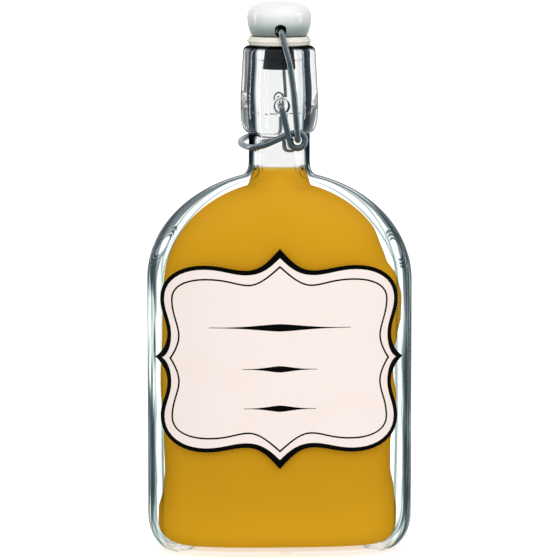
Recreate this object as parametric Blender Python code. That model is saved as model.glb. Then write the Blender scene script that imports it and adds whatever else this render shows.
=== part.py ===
"""Swing-top glass flask of syrup, modelled at its real size.

Metres, +Z up. The flask stands on z = 0 with its axis on x = y = 0. Its broad front, with the
label, faces -Y. The wire closure turns about axes that run along Y.
"""
import math

import bmesh
import bpy
from mathutils import Matrix, Vector

# Flask body: a rounded oblong section that turns into a circle at the neck
BODY_HALF_WIDTH = 0.0539
BODY_HALF_DEPTH = 0.0270
BODY_SQUARENESS = 3.2
CIRCLE = 2.0
SEGMENTS = 36
BASE_CORNER_WIDTH = 0.0110
BASE_CORNER_HEIGHT = 0.0150
BASE_RING_WIDTH = 0.0055
BASE_RECESS_STEP = 0.0020
BASE_RECESS_HEIGHT = 0.0012
SHOULDER_Z = 0.1113
SHOULDER_HEIGHT = 0.0441
SHOULDER_END_RADIUS = 0.0155
DEPTH_SHOULDER_Z = 0.1180

# Neck, collar and lip, all round
NECK_RADIUS = 0.0124
NECK_BOTTOM_Z = 0.1600
NECK_FILLET_RISE = 0.0007
COLLAR_BOTTOM_Z = 0.1712
COLLAR_STEP_HEIGHT = 0.0005
COLLAR_STEP_RADIUS = 0.0129
COLLAR_RADIUS = 0.0157
COLLAR_FULL_Z = 0.1793
COLLAR_TAPER_Z = 0.1860
LIP_RADIUS = 0.01465
LIP_EDGE_RADIUS = 0.0022
LIP_Z = 0.2062

# Cavity
CAVITY_HALF_WIDTH = 0.0475
CAVITY_HALF_DEPTH = 0.0230
CAVITY_SQUARENESS = 3.0
CAVITY_FLOOR_Z = 0.0030
CAVITY_CORNER_WIDTH = 0.0075
CAVITY_CORNER_HEIGHT = 0.0085
CAVITY_SHOULDER_Z = 0.1063
CAVITY_SHOULDER_HEIGHT = 0.0446
CAVITY_SHOULDER_END_RADIUS = 0.0130
CAVITY_DEPTH_SHOULDER_Z = 0.1120
CAVITY_NECK_RADIUS = 0.0096
CAVITY_NECK_Z = 0.1620
CAVITY_FILLET_WIDTH = 0.0020
CAVITY_FILLET_RISE = 0.0014
BORE_RADIUS = 0.0083
BORE_BULGE = 0.0005
BORE_BULGE_Z = 0.1870
BORE_BULGE_REACH = 0.0130
BORE_EDGE_RADIUS = 0.0010
BORE_RING_HEIGHTS = (0.1690, 0.1760, 0.1820, BORE_BULGE_Z, 0.1930, 0.2000)

# Contents and label
GAP = 0.0003
FILL_Z = 0.1560
LABEL_Z = 0.0818
LABEL_HALF_WIDTH = 0.0500
LABEL_HALF_HEIGHT = 0.0447
LABEL_THICKNESS = 0.0003
LABEL_GAP = 0.0004
LABEL_RINGS = (0.45, 0.7, 0.84, 0.93, 1.0)
LABEL_STEPS = 3

# Closure axes, all along Y
PIVOT = Vector((0.0, 0.0, 0.1828))
EYE = Vector((0.0066, 0.0, 0.1694))
STOPPER_PIN = Vector((0.0, 0.0, 0.2127))

# Wires
WIRE_RADIUS = 0.00125
WIRE_SIDES_RESOLUTION = 2
BEND_STEPS = 6
LEVER_ARM_Y = 0.0177
HANDLE_ARM_Y = 0.0149
BAIL_LEG_Y = 0.0205
PIVOT_END_Y = 0.0145
HOOK_END_Y = 0.0137
EYE_LOOP_RADIUS = 0.0031
EYE_LOOP_DROP = 0.0003
EYE_LOOP_EXIT = math.radians(470)
EYE_LOOP_STEPS = 15
HANDLE_REACH = 0.0157
HANDLE_SKEW = 0.0019
HANDLE_STEPS = 4
HANDLE_SKEW_REACH = 0.0100
PIN_BEND_RADIUS = 0.0019
BOW_START = Vector((0.0002, -HANDLE_ARM_Y, 0.1700))
BOW_SIDE = Vector((-0.0066, -0.0146, 0.1684))
BOW_CORNER = Vector((-0.0118, -0.0110, 0.1673))
BOW_FAR = Vector((-0.0149, -0.0052, 0.1670))
BOW_END = Vector((-HANDLE_REACH, 0.0, 0.1670))
BAIL_KNEE = Vector((0.0050, -BAIL_LEG_Y, 0.1880))
BAIL_WAIST = Vector((0.0034, -0.0181, 0.2000))
BAIL_PIN_CORNER = Vector((0.0002, -0.0148, STOPPER_PIN.z))
HOOK_BEND_RADIUS = 0.0020
LEG_BEND_RADIUS = 0.0150
PIN_CORNER_BEND_RADIUS = 0.0024
DIMPLE_RADIUS = 0.0034
DIMPLE_DEPTH = 0.0016

# Stopper, gasket and plug
CAP_RADIUS = 0.0130
CAP_SEAT_RADIUS = 0.0116
CAP_TOP_Z = 0.2243
CAP_RIM_Z = 0.2182
CAP_BOTTOM_Z = 0.2103
CAP_HOLE_RADIUS = 0.00225
CAP_HOLE_Z = 0.2133
CAP_FOOT_RADIUS = 0.0108
CAP_FOOT_EDGE = 0.0006
CAP_SIDE_HEIGHT = 0.0040
CAP_SHOULDER_RADIUS = 0.0108
CAP_SHOULDER_HEIGHT = 0.0040
CAP_SHOULDER_BEND = 0.0022
CAP_CROWN_RADIUS = 0.0070
CAP_CROWN_DROP = 0.0003
CAP_FLAT_RADIUS = 0.0020
GASKET_HOLE_RADIUS = 0.0049
GASKET_BOTTOM_Z = 0.2065
GASKET_TOP_Z = 0.2100
GASKET_FOOT_RADIUS = 0.0122
GASKET_RADIUS = 0.0130
GASKET_WIDEST_Z = 0.2078
GASKET_HEAD_RADIUS = 0.0120
PLUG_TOP_Z = 0.2046
PLUG_BOTTOM_Z = 0.1967
PLUG_TOP_RADIUS = 0.0060
PLUG_BOTTOM_RADIUS = 0.0067
PLUG_STEM_RADIUS = 0.0045
PLUG_FOOT_RADIUS = 0.0055
PLUG_EDGE = 0.0004
PLUG_FOOT_HEIGHT = 0.0013
PLUG_HEAD_HEIGHT = 0.0022
ROUND_SEGMENTS = 32
CUTTER_SEGMENTS = 20


def clear_scene():
    """Remove whatever the file holds, so that the model is alone in it."""
    for item in list(bpy.data.objects):
        bpy.data.objects.remove(item, do_unlink=True)


def make_material(name, colour, roughness, metallic=0.0, transmission=0.0):
    """A Principled material in one colour."""
    material = bpy.data.materials.new(name)
    material.use_nodes = True
    shader = material.node_tree.nodes["Principled BSDF"]
    shader.inputs["Base Color"].default_value = (*colour, 1.0)
    shader.inputs["Roughness"].default_value = roughness
    shader.inputs["Metallic"].default_value = metallic
    shader.inputs["Transmission Weight"].default_value = transmission
    material.diffuse_color = (*colour, 1.0)
    return material


def signed_power(value, power):
    """A power that keeps its base's sign."""
    return math.copysign(abs(value) ** power, value)


def section_ring(half_width, half_depth, squareness, z, segments=SEGMENTS):
    """Points of one level section, from +X round by +Y."""
    power = 2.0 / squareness
    ring = []
    for step in range(segments):
        angle = 2 * math.pi * step / segments
        x = half_width * signed_power(math.cos(angle), power)
        y = half_depth * signed_power(math.sin(angle), power)
        ring.append((x, y, z))
    return ring


def round_ring(radius, z, segments=ROUND_SEGMENTS):
    """Points of one circle about the axis."""
    return section_ring(radius, radius, CIRCLE, z, segments)


def quarter_arc(corner, size, start, end, steps):
    """Radius and height along part of an ellipse about a corner's centre, angles in degrees."""
    points = []
    for step in range(steps + 1):
        angle = math.radians(start + (end - start) * step / steps)
        radius = corner[0] + size[0] * math.cos(angle)
        height = corner[1] + size[1] * math.sin(angle)
        points.append((radius, height))
    return points


def quadratic_curve(start, control, end, steps):
    """Points of a quadratic curve, without its first one."""
    points = []
    for step in range(1, steps + 1):
        t = step / steps
        weights = ((1 - t) ** 2, 2 * t * (1 - t), t ** 2)
        points.append(tuple(
            weights[0] * a + weights[1] * b + weights[2] * c
            for a, b, c in zip(start, control, end)))
    return points


def smooth_step(value):
    """0 to 1 with level ends."""
    value = min(max(value, 0.0), 1.0)
    return value * value * (3 - 2 * value)


def shell_object(name, rings, material, closed=False):
    """Join rings of equal length into one closed mesh, with flat ends unless it closes on itself."""
    mesh = bmesh.new()
    rows = [[mesh.verts.new(point) for point in ring] for ring in rings]
    count = len(rows[0])
    pairs = list(zip(rows, rows[1:]))
    if closed:
        pairs.append((rows[-1], rows[0]))
    for low, high in pairs:
        for step in range(count):
            after = (step + 1) % count
            mesh.faces.new((low[step], low[after], high[after], high[step]))
    if not closed:
        mesh.faces.new(list(reversed(rows[0])))
        mesh.faces.new(rows[-1])
    return mesh_object(name, mesh, material)


def mesh_object(name, mesh, material):
    """Turn a bmesh into an object with its faces pointing out."""
    bmesh.ops.recalc_face_normals(mesh, faces=mesh.faces)
    data = bpy.data.meshes.new(name)
    mesh.to_mesh(data)
    mesh.free()
    data.shade_smooth()
    data.set_sharp_from_angle(angle=math.radians(40))
    item = bpy.data.objects.new(name, data)
    data.materials.append(material)
    bpy.context.scene.collection.objects.link(item)
    return item


def ellipse_height(radius, full, height):
    """How far up a quarter ellipse its half-width has shrunk to a radius."""
    return height * math.sqrt(1 - (radius / full) ** 2)


def ellipse_width(rise, full, height):
    """Half-width of a quarter ellipse at some rise above its foot."""
    return full * math.sqrt(max(0.0, 1 - (max(0.0, rise) / height) ** 2))


def shoulder_sections(body, foot_z, depth_foot_z, height, end_radius, steps):
    """Sections of a shoulder that rises as an ellipse in width and another in depth."""
    half_width, half_depth, squareness = body
    end_rise = ellipse_height(end_radius, half_width, height)
    end_z = foot_z + end_rise
    depth_height = (end_z - depth_foot_z) / math.sqrt(1 - (end_radius / half_depth) ** 2)
    end_angle = math.asin(end_rise / height)
    sections = []
    for step in range(steps + 1):
        angle = end_angle * step / steps
        z = foot_z + height * math.sin(angle)
        width = half_width * math.cos(angle)
        depth = min(width, ellipse_width(z - depth_foot_z, half_depth, depth_height))
        roundness = smooth_step((z - foot_z) / end_rise)
        sections.append((width, depth, squareness + (CIRCLE - squareness) * roundness, z))
    return sections


def round_sections(profile):
    """Sections of the round neck from its radii and heights."""
    return [(radius, radius, CIRCLE, z) for radius, z in profile]


def outer_sections():
    """The flask's outside, from its recessed base up to the top of the lip."""
    inset = BASE_CORNER_WIDTH + BASE_RING_WIDTH
    recess = inset + BASE_RECESS_STEP
    sections = [
        (BODY_HALF_WIDTH - recess, BODY_HALF_DEPTH - recess, BODY_SQUARENESS, BASE_RECESS_HEIGHT),
        (BODY_HALF_WIDTH - inset, BODY_HALF_DEPTH - inset, BODY_SQUARENESS, 0.0)]
    corner = quarter_arc((-BASE_CORNER_WIDTH, BASE_CORNER_HEIGHT),
                         (BASE_CORNER_WIDTH, BASE_CORNER_HEIGHT), -90, 0, 5)
    for offset, z in corner:
        sections.append((BODY_HALF_WIDTH + offset, BODY_HALF_DEPTH + offset, BODY_SQUARENESS, z))
    body = (BODY_HALF_WIDTH, BODY_HALF_DEPTH, BODY_SQUARENESS)
    shoulder = shoulder_sections(body, SHOULDER_Z, DEPTH_SHOULDER_Z, SHOULDER_HEIGHT,
                                 SHOULDER_END_RADIUS, 10)
    end_z = shoulder[-1][3]
    fillet = quadratic_curve((SHOULDER_END_RADIUS, end_z), (NECK_RADIUS, end_z + NECK_FILLET_RISE),
                             (NECK_RADIUS, NECK_BOTTOM_Z), 4)
    collar = quarter_arc((COLLAR_STEP_RADIUS, COLLAR_FULL_Z),
                         (COLLAR_RADIUS - COLLAR_STEP_RADIUS, COLLAR_FULL_Z - COLLAR_BOTTOM_Z),
                         -90, 0, 5)
    lip = quarter_arc((LIP_RADIUS - LIP_EDGE_RADIUS, LIP_Z - LIP_EDGE_RADIUS),
                      (LIP_EDGE_RADIUS, LIP_EDGE_RADIUS), 0, 90, 4)
    neck = [(NECK_RADIUS, COLLAR_BOTTOM_Z - COLLAR_STEP_HEIGHT)]
    taper = [(COLLAR_RADIUS, COLLAR_TAPER_Z)]
    return sections + shoulder + round_sections(fillet + neck + collar + taper + lip)


def cavity_sections(inset):
    """The cavity from its floor up to the neck's foot, drawn in by an inset all round."""
    width = CAVITY_HALF_WIDTH - inset
    depth = CAVITY_HALF_DEPTH - inset
    floor_z = CAVITY_FLOOR_Z + inset
    corner = quarter_arc((-CAVITY_CORNER_WIDTH, floor_z + CAVITY_CORNER_HEIGHT),
                         (CAVITY_CORNER_WIDTH, CAVITY_CORNER_HEIGHT), -90, 0, 4)
    sections = [(width + offset, depth + offset, CAVITY_SQUARENESS, z) for offset, z in corner]
    sections += shoulder_sections((width, depth, CAVITY_SQUARENESS), CAVITY_SHOULDER_Z - inset,
                                  CAVITY_DEPTH_SHOULDER_Z - inset, CAVITY_SHOULDER_HEIGHT,
                                  CAVITY_SHOULDER_END_RADIUS - inset, 8)
    return sections


def cavity_neck_profile(inset):
    """Radius and height from the cavity's shoulder up to the foot of the bore."""
    start = cavity_sections(inset)[-1]
    mouth = CAVITY_NECK_RADIUS - inset
    control = (mouth + CAVITY_FILLET_WIDTH, start[3] + CAVITY_FILLET_RISE)
    return quadratic_curve((start[0], start[3]), control, (mouth, CAVITY_NECK_Z), 6)


def bore_profile():
    """Radius and height up the bore, which swells a little behind the collar."""
    profile = []
    for z in BORE_RING_HEIGHTS:
        swell = 1 - abs(z - BORE_BULGE_Z) / BORE_BULGE_REACH
        profile.append((BORE_RADIUS + BORE_BULGE * smooth_step(swell), z))
    return profile + quarter_arc((BORE_RADIUS + BORE_EDGE_RADIUS, LIP_Z - BORE_EDGE_RADIUS),
                                 (-BORE_EDGE_RADIUS, BORE_EDGE_RADIUS), 0, 90, 2)


def round_cutter(name, radius, length, middle):
    """A round tool along Y that only cuts others."""
    mesh = bmesh.new()
    bmesh.ops.create_cone(mesh, cap_ends=True, segments=CUTTER_SEGMENTS, radius1=radius,
                          radius2=radius, depth=length)
    along_y = Matrix.Rotation(math.radians(90), 3, "X")
    bmesh.ops.rotate(mesh, verts=mesh.verts, matrix=along_y, cent=(0, 0, 0))
    bmesh.ops.translate(mesh, verts=mesh.verts, vec=middle)
    data = bpy.data.meshes.new(name)
    mesh.to_mesh(data)
    mesh.free()
    item = bpy.data.objects.new(name, data)
    bpy.context.scene.collection.objects.link(item)
    item.hide_render = True
    item.display_type = "WIRE"
    return item


def cut(item, cutter):
    """Take one closed shape out of another."""
    modifier = item.modifiers.new(cutter.name, "BOOLEAN")
    modifier.operation = "DIFFERENCE"
    modifier.solver = "EXACT"
    modifier.object = cutter


def make_glass(material):
    """The bottle of clear glass: outside, lip, bore and cavity in one skin."""
    inside = cavity_sections(0.0) + round_sections(cavity_neck_profile(0.0) + bore_profile())
    sections = outer_sections() + list(reversed(inside))
    rings = [section_ring(*section) for section in sections]
    glass = shell_object("glass_bottle", rings, material)
    for name, side in (("front_dimple_cutter", -1), ("back_dimple_cutter", 1)):
        middle = (0, side * (2 * COLLAR_RADIUS - DIMPLE_DEPTH), PIVOT.z)
        cut(glass, round_cutter(name, DIMPLE_RADIUS, 2 * COLLAR_RADIUS, middle))
    return glass


def make_syrup(material):
    """The syrup, up to its level at the foot of the neck."""
    sections = cavity_sections(GAP)
    for radius, z in cavity_neck_profile(GAP):
        if z < FILL_Z:
            sections.append((radius, radius, CIRCLE, z))
            last = (radius, z)
        else:
            share = (FILL_Z - last[1]) / (z - last[1])
            level_radius = last[0] + share * (radius - last[0])
            sections.append((level_radius, level_radius, CIRCLE, FILL_Z))
            break
    return shell_object("syrup", [section_ring(*section) for section in sections], material)


def cubic_curve(points, steps):
    """Points of a cubic curve, without its last one."""
    curve = []
    for step in range(steps):
        t = step / steps
        weights = ((1 - t) ** 3, 3 * t * (1 - t) ** 2, 3 * t ** 2 * (1 - t), t ** 3)
        curve.append(tuple(sum(w * p[axis] for w, p in zip(weights, points)) for axis in (0, 1)))
    return curve


def label_quarter():
    """The upper right quarter of the label's bracket outline, from the top point to the side point."""
    top = (0.0, LABEL_HALF_HEIGHT)
    dip = (0.0135, 0.0359)
    hump = (0.0302, 0.0379)
    lobe = (0.0479, 0.0240)
    waist = (0.0451, 0.0097)
    side = (LABEL_HALF_WIDTH, 0.0)
    return (cubic_curve((top, (0.0035, 0.0410), (0.0070, dip[1]), dip), LABEL_STEPS)
            + cubic_curve((dip, (0.0190, dip[1]), (0.0235, hump[1]), hump), LABEL_STEPS)
            + cubic_curve((hump, (0.0405, hump[1]), (lobe[0], 0.0325), lobe), LABEL_STEPS)
            + cubic_curve((lobe, (lobe[0], 0.0185), (waist[0], 0.0150), waist), LABEL_STEPS)
            + cubic_curve((waist, (waist[0], 0.0052), (0.0476, 0.0018), side), LABEL_STEPS)
            + [side])


def label_outline():
    """The whole outline as x and height about the label's middle, mirrored from its quarter."""
    quarter = label_quarter()
    right = quarter + [(x, -z) for x, z in reversed(quarter[:-1])]
    left = [(-x, z) for x, z in reversed(right[1:-1])]
    return right + left


def front_y(x, offset):
    """Where the flask's front lies at some x, moved out by an offset."""
    share = min(1.0, abs(x) / (BODY_HALF_WIDTH + offset)) ** BODY_SQUARENESS
    return -(BODY_HALF_DEPTH + offset) * (1 - share) ** (1 / BODY_SQUARENESS)


def make_label(material):
    """The paper label, a thin skin bent round the flask's front."""
    outline = label_outline()
    mesh = bmesh.new()
    skins = []
    for offset in (LABEL_GAP, LABEL_GAP + LABEL_THICKNESS):
        centre = mesh.verts.new((0, front_y(0, offset), LABEL_Z))
        rings = []
        for share in LABEL_RINGS:
            ring = [(x * share, front_y(x * share, offset), LABEL_Z + z * share)
                    for x, z in outline]
            rings.append([mesh.verts.new(point) for point in ring])
        skins.append((centre, rings))
    count = len(outline)
    for step in range(count):
        after = (step + 1) % count
        for centre, rings in skins:
            mesh.faces.new((centre, rings[0][step], rings[0][after]))
            for low, high in zip(rings, rings[1:]):
                mesh.faces.new((low[step], high[step], high[after], low[after]))
        inner, outer = skins[0][1][-1], skins[1][1][-1]
        mesh.faces.new((inner[step], inner[after], outer[after], outer[step]))
    return mesh_object("label", mesh, material)


def make_stopper_cap(material):
    """The porcelain stopper: a low dome over a tapered side, with a cross hole for the bail."""
    side = [(CAP_FOOT_RADIUS, CAP_BOTTOM_Z), (CAP_SEAT_RADIUS, CAP_BOTTOM_Z + CAP_FOOT_EDGE)]
    side += quadratic_curve(side[-1], (CAP_RADIUS, CAP_BOTTOM_Z + CAP_SIDE_HEIGHT),
                            (CAP_RADIUS, CAP_RIM_Z), 5)
    rim = quadratic_curve(side[-1], (CAP_RADIUS, CAP_RIM_Z + CAP_SHOULDER_BEND),
                          (CAP_SHOULDER_RADIUS, CAP_RIM_Z + CAP_SHOULDER_HEIGHT), 4)
    dome = quadratic_curve(rim[-1], (CAP_CROWN_RADIUS, CAP_TOP_Z - CAP_CROWN_DROP),
                           (CAP_FLAT_RADIUS, CAP_TOP_Z), 4)
    cap = shell_object("stopper_cap", [round_ring(*point) for point in side + rim + dome], material)
    cutter = round_cutter("cross_hole_cutter", CAP_HOLE_RADIUS, 4 * CAP_RADIUS, (0, 0, CAP_HOLE_Z))
    cut(cap, cutter)
    return cap, cutter


def make_gasket(material):
    """The rubber ring between stopper and lip, with a slanted upper edge."""
    foot = (GASKET_FOOT_RADIUS, GASKET_BOTTOM_Z)
    widest = (GASKET_RADIUS, GASKET_WIDEST_Z)
    head = (GASKET_HEAD_RADIUS, GASKET_TOP_Z)
    profile = [(GASKET_HOLE_RADIUS, GASKET_BOTTOM_Z), foot]
    profile += quadratic_curve(foot, (GASKET_RADIUS, GASKET_BOTTOM_Z), widest, 2)
    profile += quadratic_curve(widest, (GASKET_RADIUS, GASKET_TOP_Z - LIP_EDGE_RADIUS / 2), head, 3)
    profile.append((GASKET_HOLE_RADIUS, GASKET_TOP_Z))
    return shell_object("gasket", [round_ring(*point) for point in profile], material, closed=True)


def make_plug(material):
    """The dark plug that hangs in the bore, with its stem up through the gasket."""
    profile = [(PLUG_FOOT_RADIUS, PLUG_BOTTOM_Z),
               (PLUG_BOTTOM_RADIUS - PLUG_EDGE, PLUG_BOTTOM_Z + PLUG_EDGE),
               (PLUG_BOTTOM_RADIUS, PLUG_BOTTOM_Z + PLUG_FOOT_HEIGHT),
               (PLUG_TOP_RADIUS, PLUG_TOP_Z - PLUG_HEAD_HEIGHT), (PLUG_TOP_RADIUS, PLUG_TOP_Z),
               (PLUG_STEM_RADIUS, PLUG_TOP_Z + PLUG_EDGE),
               (PLUG_STEM_RADIUS, CAP_BOTTOM_Z - GAP)]
    return shell_object("stopper_plug", [round_ring(*point) for point in profile], material)


def rounded_route(corners, bends):
    """A wire's route through corners, each rounded to its own bend radius."""
    route = [corners[0]]
    for before, corner, after, radius in zip(corners, corners[1:], corners[2:], bends):
        entry = (corner - before).normalized()
        leave = (after - corner).normalized()
        turn = entry.angle(leave)
        reach = radius * math.tan(turn / 2)
        inward = (leave - entry * entry.dot(leave)).normalized()
        centre = corner - entry * reach + inward * radius
        for step in range(BEND_STEPS + 1):
            angle = turn * step / BEND_STEPS
            route.append(centre - inward * radius * math.cos(angle)
                         + entry * radius * math.sin(angle))
    return route + [corners[-1]]


def smooth_route(points, steps):
    """A smooth curve through points, given with one guide point before and one after."""
    route = []
    for a, b, c, d in zip(points, points[1:], points[2:], points[3:]):
        for step in range(steps):
            t = step / steps
            route.append(0.5 * (2 * b + (c - a) * t + (2 * a - 5 * b + 4 * c - d) * t * t
                                + (3 * b - a - 3 * c + d) * t ** 3))
    return route + [points[-2]]


def wire_object(name, route, material):
    """A round wire along a route, with flat ends."""
    curve = bpy.data.curves.new(name, "CURVE")
    curve.dimensions = "3D"
    curve.bevel_depth = WIRE_RADIUS
    curve.bevel_resolution = WIRE_SIDES_RESOLUTION
    curve.use_fill_caps = True
    spline = curve.splines.new("POLY")
    spline.points.add(len(route) - 1)
    for point, place in zip(spline.points, route):
        point.co = (*place, 1.0)
    item = bpy.data.objects.new(name, curve)
    curve.materials.append(material)
    bpy.context.scene.collection.objects.link(item)
    return item


def lever_front_half():
    """The lever wire from its end in the front dimple, round the eye, to the loop's exit."""
    centre = EYE - Vector((0, 0, EYE_LOOP_DROP))
    span = centre - PIVOT
    lean = math.asin(EYE_LOOP_RADIUS / span.length)
    entry = math.atan2(span.z, span.x) - lean - math.pi / 2 + 2 * math.pi
    loop = []
    for step in range(EYE_LOOP_STEPS + 1):
        share = step / EYE_LOOP_STEPS
        angle = entry + (EYE_LOOP_EXIT - entry) * share
        y = -LEVER_ARM_Y + (LEVER_ARM_Y - HANDLE_ARM_Y) * smooth_step(share)
        loop.append(centre + Vector((EYE_LOOP_RADIUS * math.cos(angle), y,
                                     EYE_LOOP_RADIUS * math.sin(angle))))
    pin_end = PIVOT + Vector((0, -PIVOT_END_Y, 0))
    pin_corner = PIVOT + Vector((0, -LEVER_ARM_Y, 0))
    return rounded_route([pin_end, pin_corner, loop[0]], [PIN_BEND_RADIUS])[:-1] + loop


def skewed(point):
    """A point of the handle, lower in front and higher behind."""
    share = smooth_step(-point.x / HANDLE_SKEW_REACH)
    return point + Vector((0, 0, HANDLE_SKEW * share * point.y / HANDLE_ARM_Y))


def lever_route():
    """The whole lever wire: both pivots, both eyes, and the handle round the neck's left side."""
    front = lever_front_half()
    back = [Vector((p.x, -p.y, p.z)) for p in reversed(front)]
    bow = [BOW_START, BOW_SIDE, BOW_CORNER, BOW_FAR, BOW_END]
    bow += [Vector((p.x, -p.y, p.z)) for p in reversed(bow[:-1])]
    keys = [front[-2], front[-1]] + [skewed(p) for p in bow] + [back[0], back[1]]
    return front[:-1] + smooth_route(keys, HANDLE_STEPS) + back[1:]


def bail_route():
    """The whole bail wire: hook, leg, pin through the stopper, leg and hook."""
    front = [Vector((EYE.x, -HOOK_END_Y, EYE.z)), Vector((EYE.x, -BAIL_LEG_Y, EYE.z)),
             BAIL_KNEE, BAIL_WAIST, BAIL_PIN_CORNER]
    back = [Vector((p.x, -p.y, p.z)) for p in reversed(front)]
    bends = [HOOK_BEND_RADIUS, LEG_BEND_RADIUS, LEG_BEND_RADIUS, PIN_CORNER_BEND_RADIUS]
    return rounded_route(front + back, bends + list(reversed(bends)))


def pivot_empty(name, place, parent=None):
    """An empty on a closure axis, which carries what turns about it."""
    empty = bpy.data.objects.new(name, None)
    empty.empty_display_size = 0.005
    bpy.context.scene.collection.objects.link(empty)
    if parent is not None:
        empty.parent = parent
        place = place - parent.matrix_world.translation
    empty.location = place
    bpy.context.view_layer.update()
    return empty


def hang_on(item, empty):
    """Parent a piece to its pivot and leave it where it is."""
    item.parent = empty
    item.location = -empty.matrix_world.translation


def build():
    """Make every piece and hang the moving ones on their pivots."""
    clear_scene()
    clear_glass = make_material("clear_glass", (0.86, 0.90, 0.89), 0.03, transmission=0.9)
    amber_syrup = make_material("amber_syrup", (0.66, 0.33, 0.022), 0.08)
    paper = make_material("label_paper", (0.97, 0.85, 0.79), 0.75)
    porcelain = make_material("white_porcelain", (0.90, 0.91, 0.89), 0.12)
    pale_rubber = make_material("pale_rubber", (0.75, 0.68, 0.61), 0.65)
    dark_rubber = make_material("dark_rubber", (0.013, 0.012, 0.013), 0.45)
    steel = make_material("steel_wire", (0.33, 0.38, 0.40), 0.28, metallic=1.0)
    make_glass(clear_glass)
    make_syrup(amber_syrup)
    make_label(paper)
    lever_pivot = pivot_empty("lever_pivot", PIVOT)
    bail_pivot = pivot_empty("bail_pivot", EYE, lever_pivot)
    stopper_pivot = pivot_empty("stopper_pivot", STOPPER_PIN, bail_pivot)
    hang_on(wire_object("lever_wire", lever_route(), steel), lever_pivot)
    hang_on(wire_object("bail_wire", bail_route(), steel), bail_pivot)
    for item in (*make_stopper_cap(porcelain), make_gasket(pale_rubber), make_plug(dark_rubber)):
        hang_on(item, stopper_pivot)


build()
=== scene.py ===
# %% [markdown]
# # A swing-top flask of maple syrup
#
# The object is a flat flask of clear glass, filled with amber syrup and closed by a porcelain
# stopper that two bent steel wires hold down. A bracket-shaped paper label wraps its front.
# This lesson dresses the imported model: each cell makes one piece or one finish, in the place
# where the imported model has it. The origin is the centre of the base, +Z is up, and the label
# faces -Y.

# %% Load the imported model
import math

import bmesh
import bpy
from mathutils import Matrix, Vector


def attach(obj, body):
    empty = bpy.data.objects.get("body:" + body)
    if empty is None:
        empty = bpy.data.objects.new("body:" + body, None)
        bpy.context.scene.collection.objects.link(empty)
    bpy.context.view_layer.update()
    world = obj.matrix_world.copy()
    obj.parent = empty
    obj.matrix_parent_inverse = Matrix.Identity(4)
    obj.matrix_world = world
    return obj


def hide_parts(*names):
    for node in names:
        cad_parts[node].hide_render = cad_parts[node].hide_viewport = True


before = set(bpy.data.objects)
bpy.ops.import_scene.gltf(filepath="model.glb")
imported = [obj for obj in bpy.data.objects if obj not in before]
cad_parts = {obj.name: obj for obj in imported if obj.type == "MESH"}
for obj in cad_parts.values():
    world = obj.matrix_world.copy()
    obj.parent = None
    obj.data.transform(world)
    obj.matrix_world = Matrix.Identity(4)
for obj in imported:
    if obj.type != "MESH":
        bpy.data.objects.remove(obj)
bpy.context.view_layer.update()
MM = 0.001

# %% [markdown]
# ## Small helpers
#
# Colours are picked as hex codes, which are stored for a screen. Shaders add up light, so each
# code is turned into linear values first. Materials are graphs of nodes. One helper adds a node
# with its settings and links, and a few short ones on top of it cover the nodes that come up
# again and again. Each of those hands back a socket, so a material reads like a formula.

# %% Colours and nodes
def linear_rgba(code):
    """Turn an sRGB hex code into the linear colour that shaders expect."""
    channels = [int(code[at:at + 2], 16) / 255 for at in (1, 3, 5)]
    linear = [c / 12.92 if c <= 0.04045 else ((c + 0.055) / 1.055) ** 2.4 for c in channels]
    return (*linear, 1.0)


WHITE = linear_rgba("#FFFFFF")


def add_node(tree, kind, inputs=None, stops=None, **settings):
    """Add a node, set its options, and fill or link its inputs by name or number."""
    node = tree.nodes.new(kind)
    for name, value in settings.items():
        setattr(node, name, value)
    for socket, value in (inputs or {}).items():
        if isinstance(value, bpy.types.Node):
            value = value.outputs[0]
        if isinstance(value, bpy.types.NodeSocket):
            tree.links.new(value, node.inputs[socket])
        else:
            node.inputs[socket].default_value = value
    if stops:
        elements = node.color_ramp.elements
        elements[0].position, elements[0].color = stops[0]
        elements[1].position, elements[1].color = stops[-1]
        for at, colour in stops[1:-1]:
            elements.new(at).color = colour
    return node


def number(tree, operation, *values, clamp=False):
    """One sum on numbers."""
    return add_node(tree, "ShaderNodeMath", dict(enumerate(values)), operation=operation,
                    use_clamp=clamp).outputs[0]


def vector(tree, operation, *values):
    """One sum on vectors."""
    return add_node(tree, "ShaderNodeVectorMath", dict(enumerate(values)),
                    operation=operation).outputs[0]


def between(tree, value, low, high, to_low=0.0, to_high=1.0, shape="LINEAR"):
    """How far a value has come from low to high, as a number between two others."""
    return add_node(tree, "ShaderNodeMapRange", {
        "Value": value, "From Min": low, "From Max": high, "To Min": to_low, "To Max": to_high},
        interpolation_type=shape).outputs[0]


def ramp(tree, factor, stops, walls=1):
    """A row of hex codes or greys. Each of several walls in a row holds a root of the colour."""
    colours = []
    for at, value in stops:
        colour = linear_rgba(value) if isinstance(value, str) else (value, value, value, 1.0)
        colours.append((at, tuple(channel ** (1 / walls) for channel in colour)))
    return add_node(tree, "ShaderNodeValToRGB", {0: factor}, stops=colours).outputs[0]


def blend(tree, share, first, second):
    """A mix of two colours."""
    return add_node(tree, "ShaderNodeMix", {0: share, 6: first, 7: second},
                    data_type="RGBA").outputs[2]


def noise(tree, position, scale, detail=2.0):
    """Soft clouds, finer with a larger scale."""
    return add_node(tree, "ShaderNodeTexNoise", {
        "Vector": position, "Scale": scale, "Detail": detail}).outputs[0]


def bump(tree, height, strength, distance=0.05 * MM):
    """A shallow relief for a shader's normal."""
    return add_node(tree, "ShaderNodeBump", {
        "Height": height, "Strength": strength, "Distance": distance}).outputs[0]


def attribute(tree, name):
    """A number that the mesh stores under a name."""
    return add_node(tree, "ShaderNodeAttribute", attribute_name=name).outputs["Fac"]


def object_position(tree):
    """The point that is shaded, in the piece's own frame."""
    return add_node(tree, "ShaderNodeTexCoord").outputs["Object"]


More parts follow.
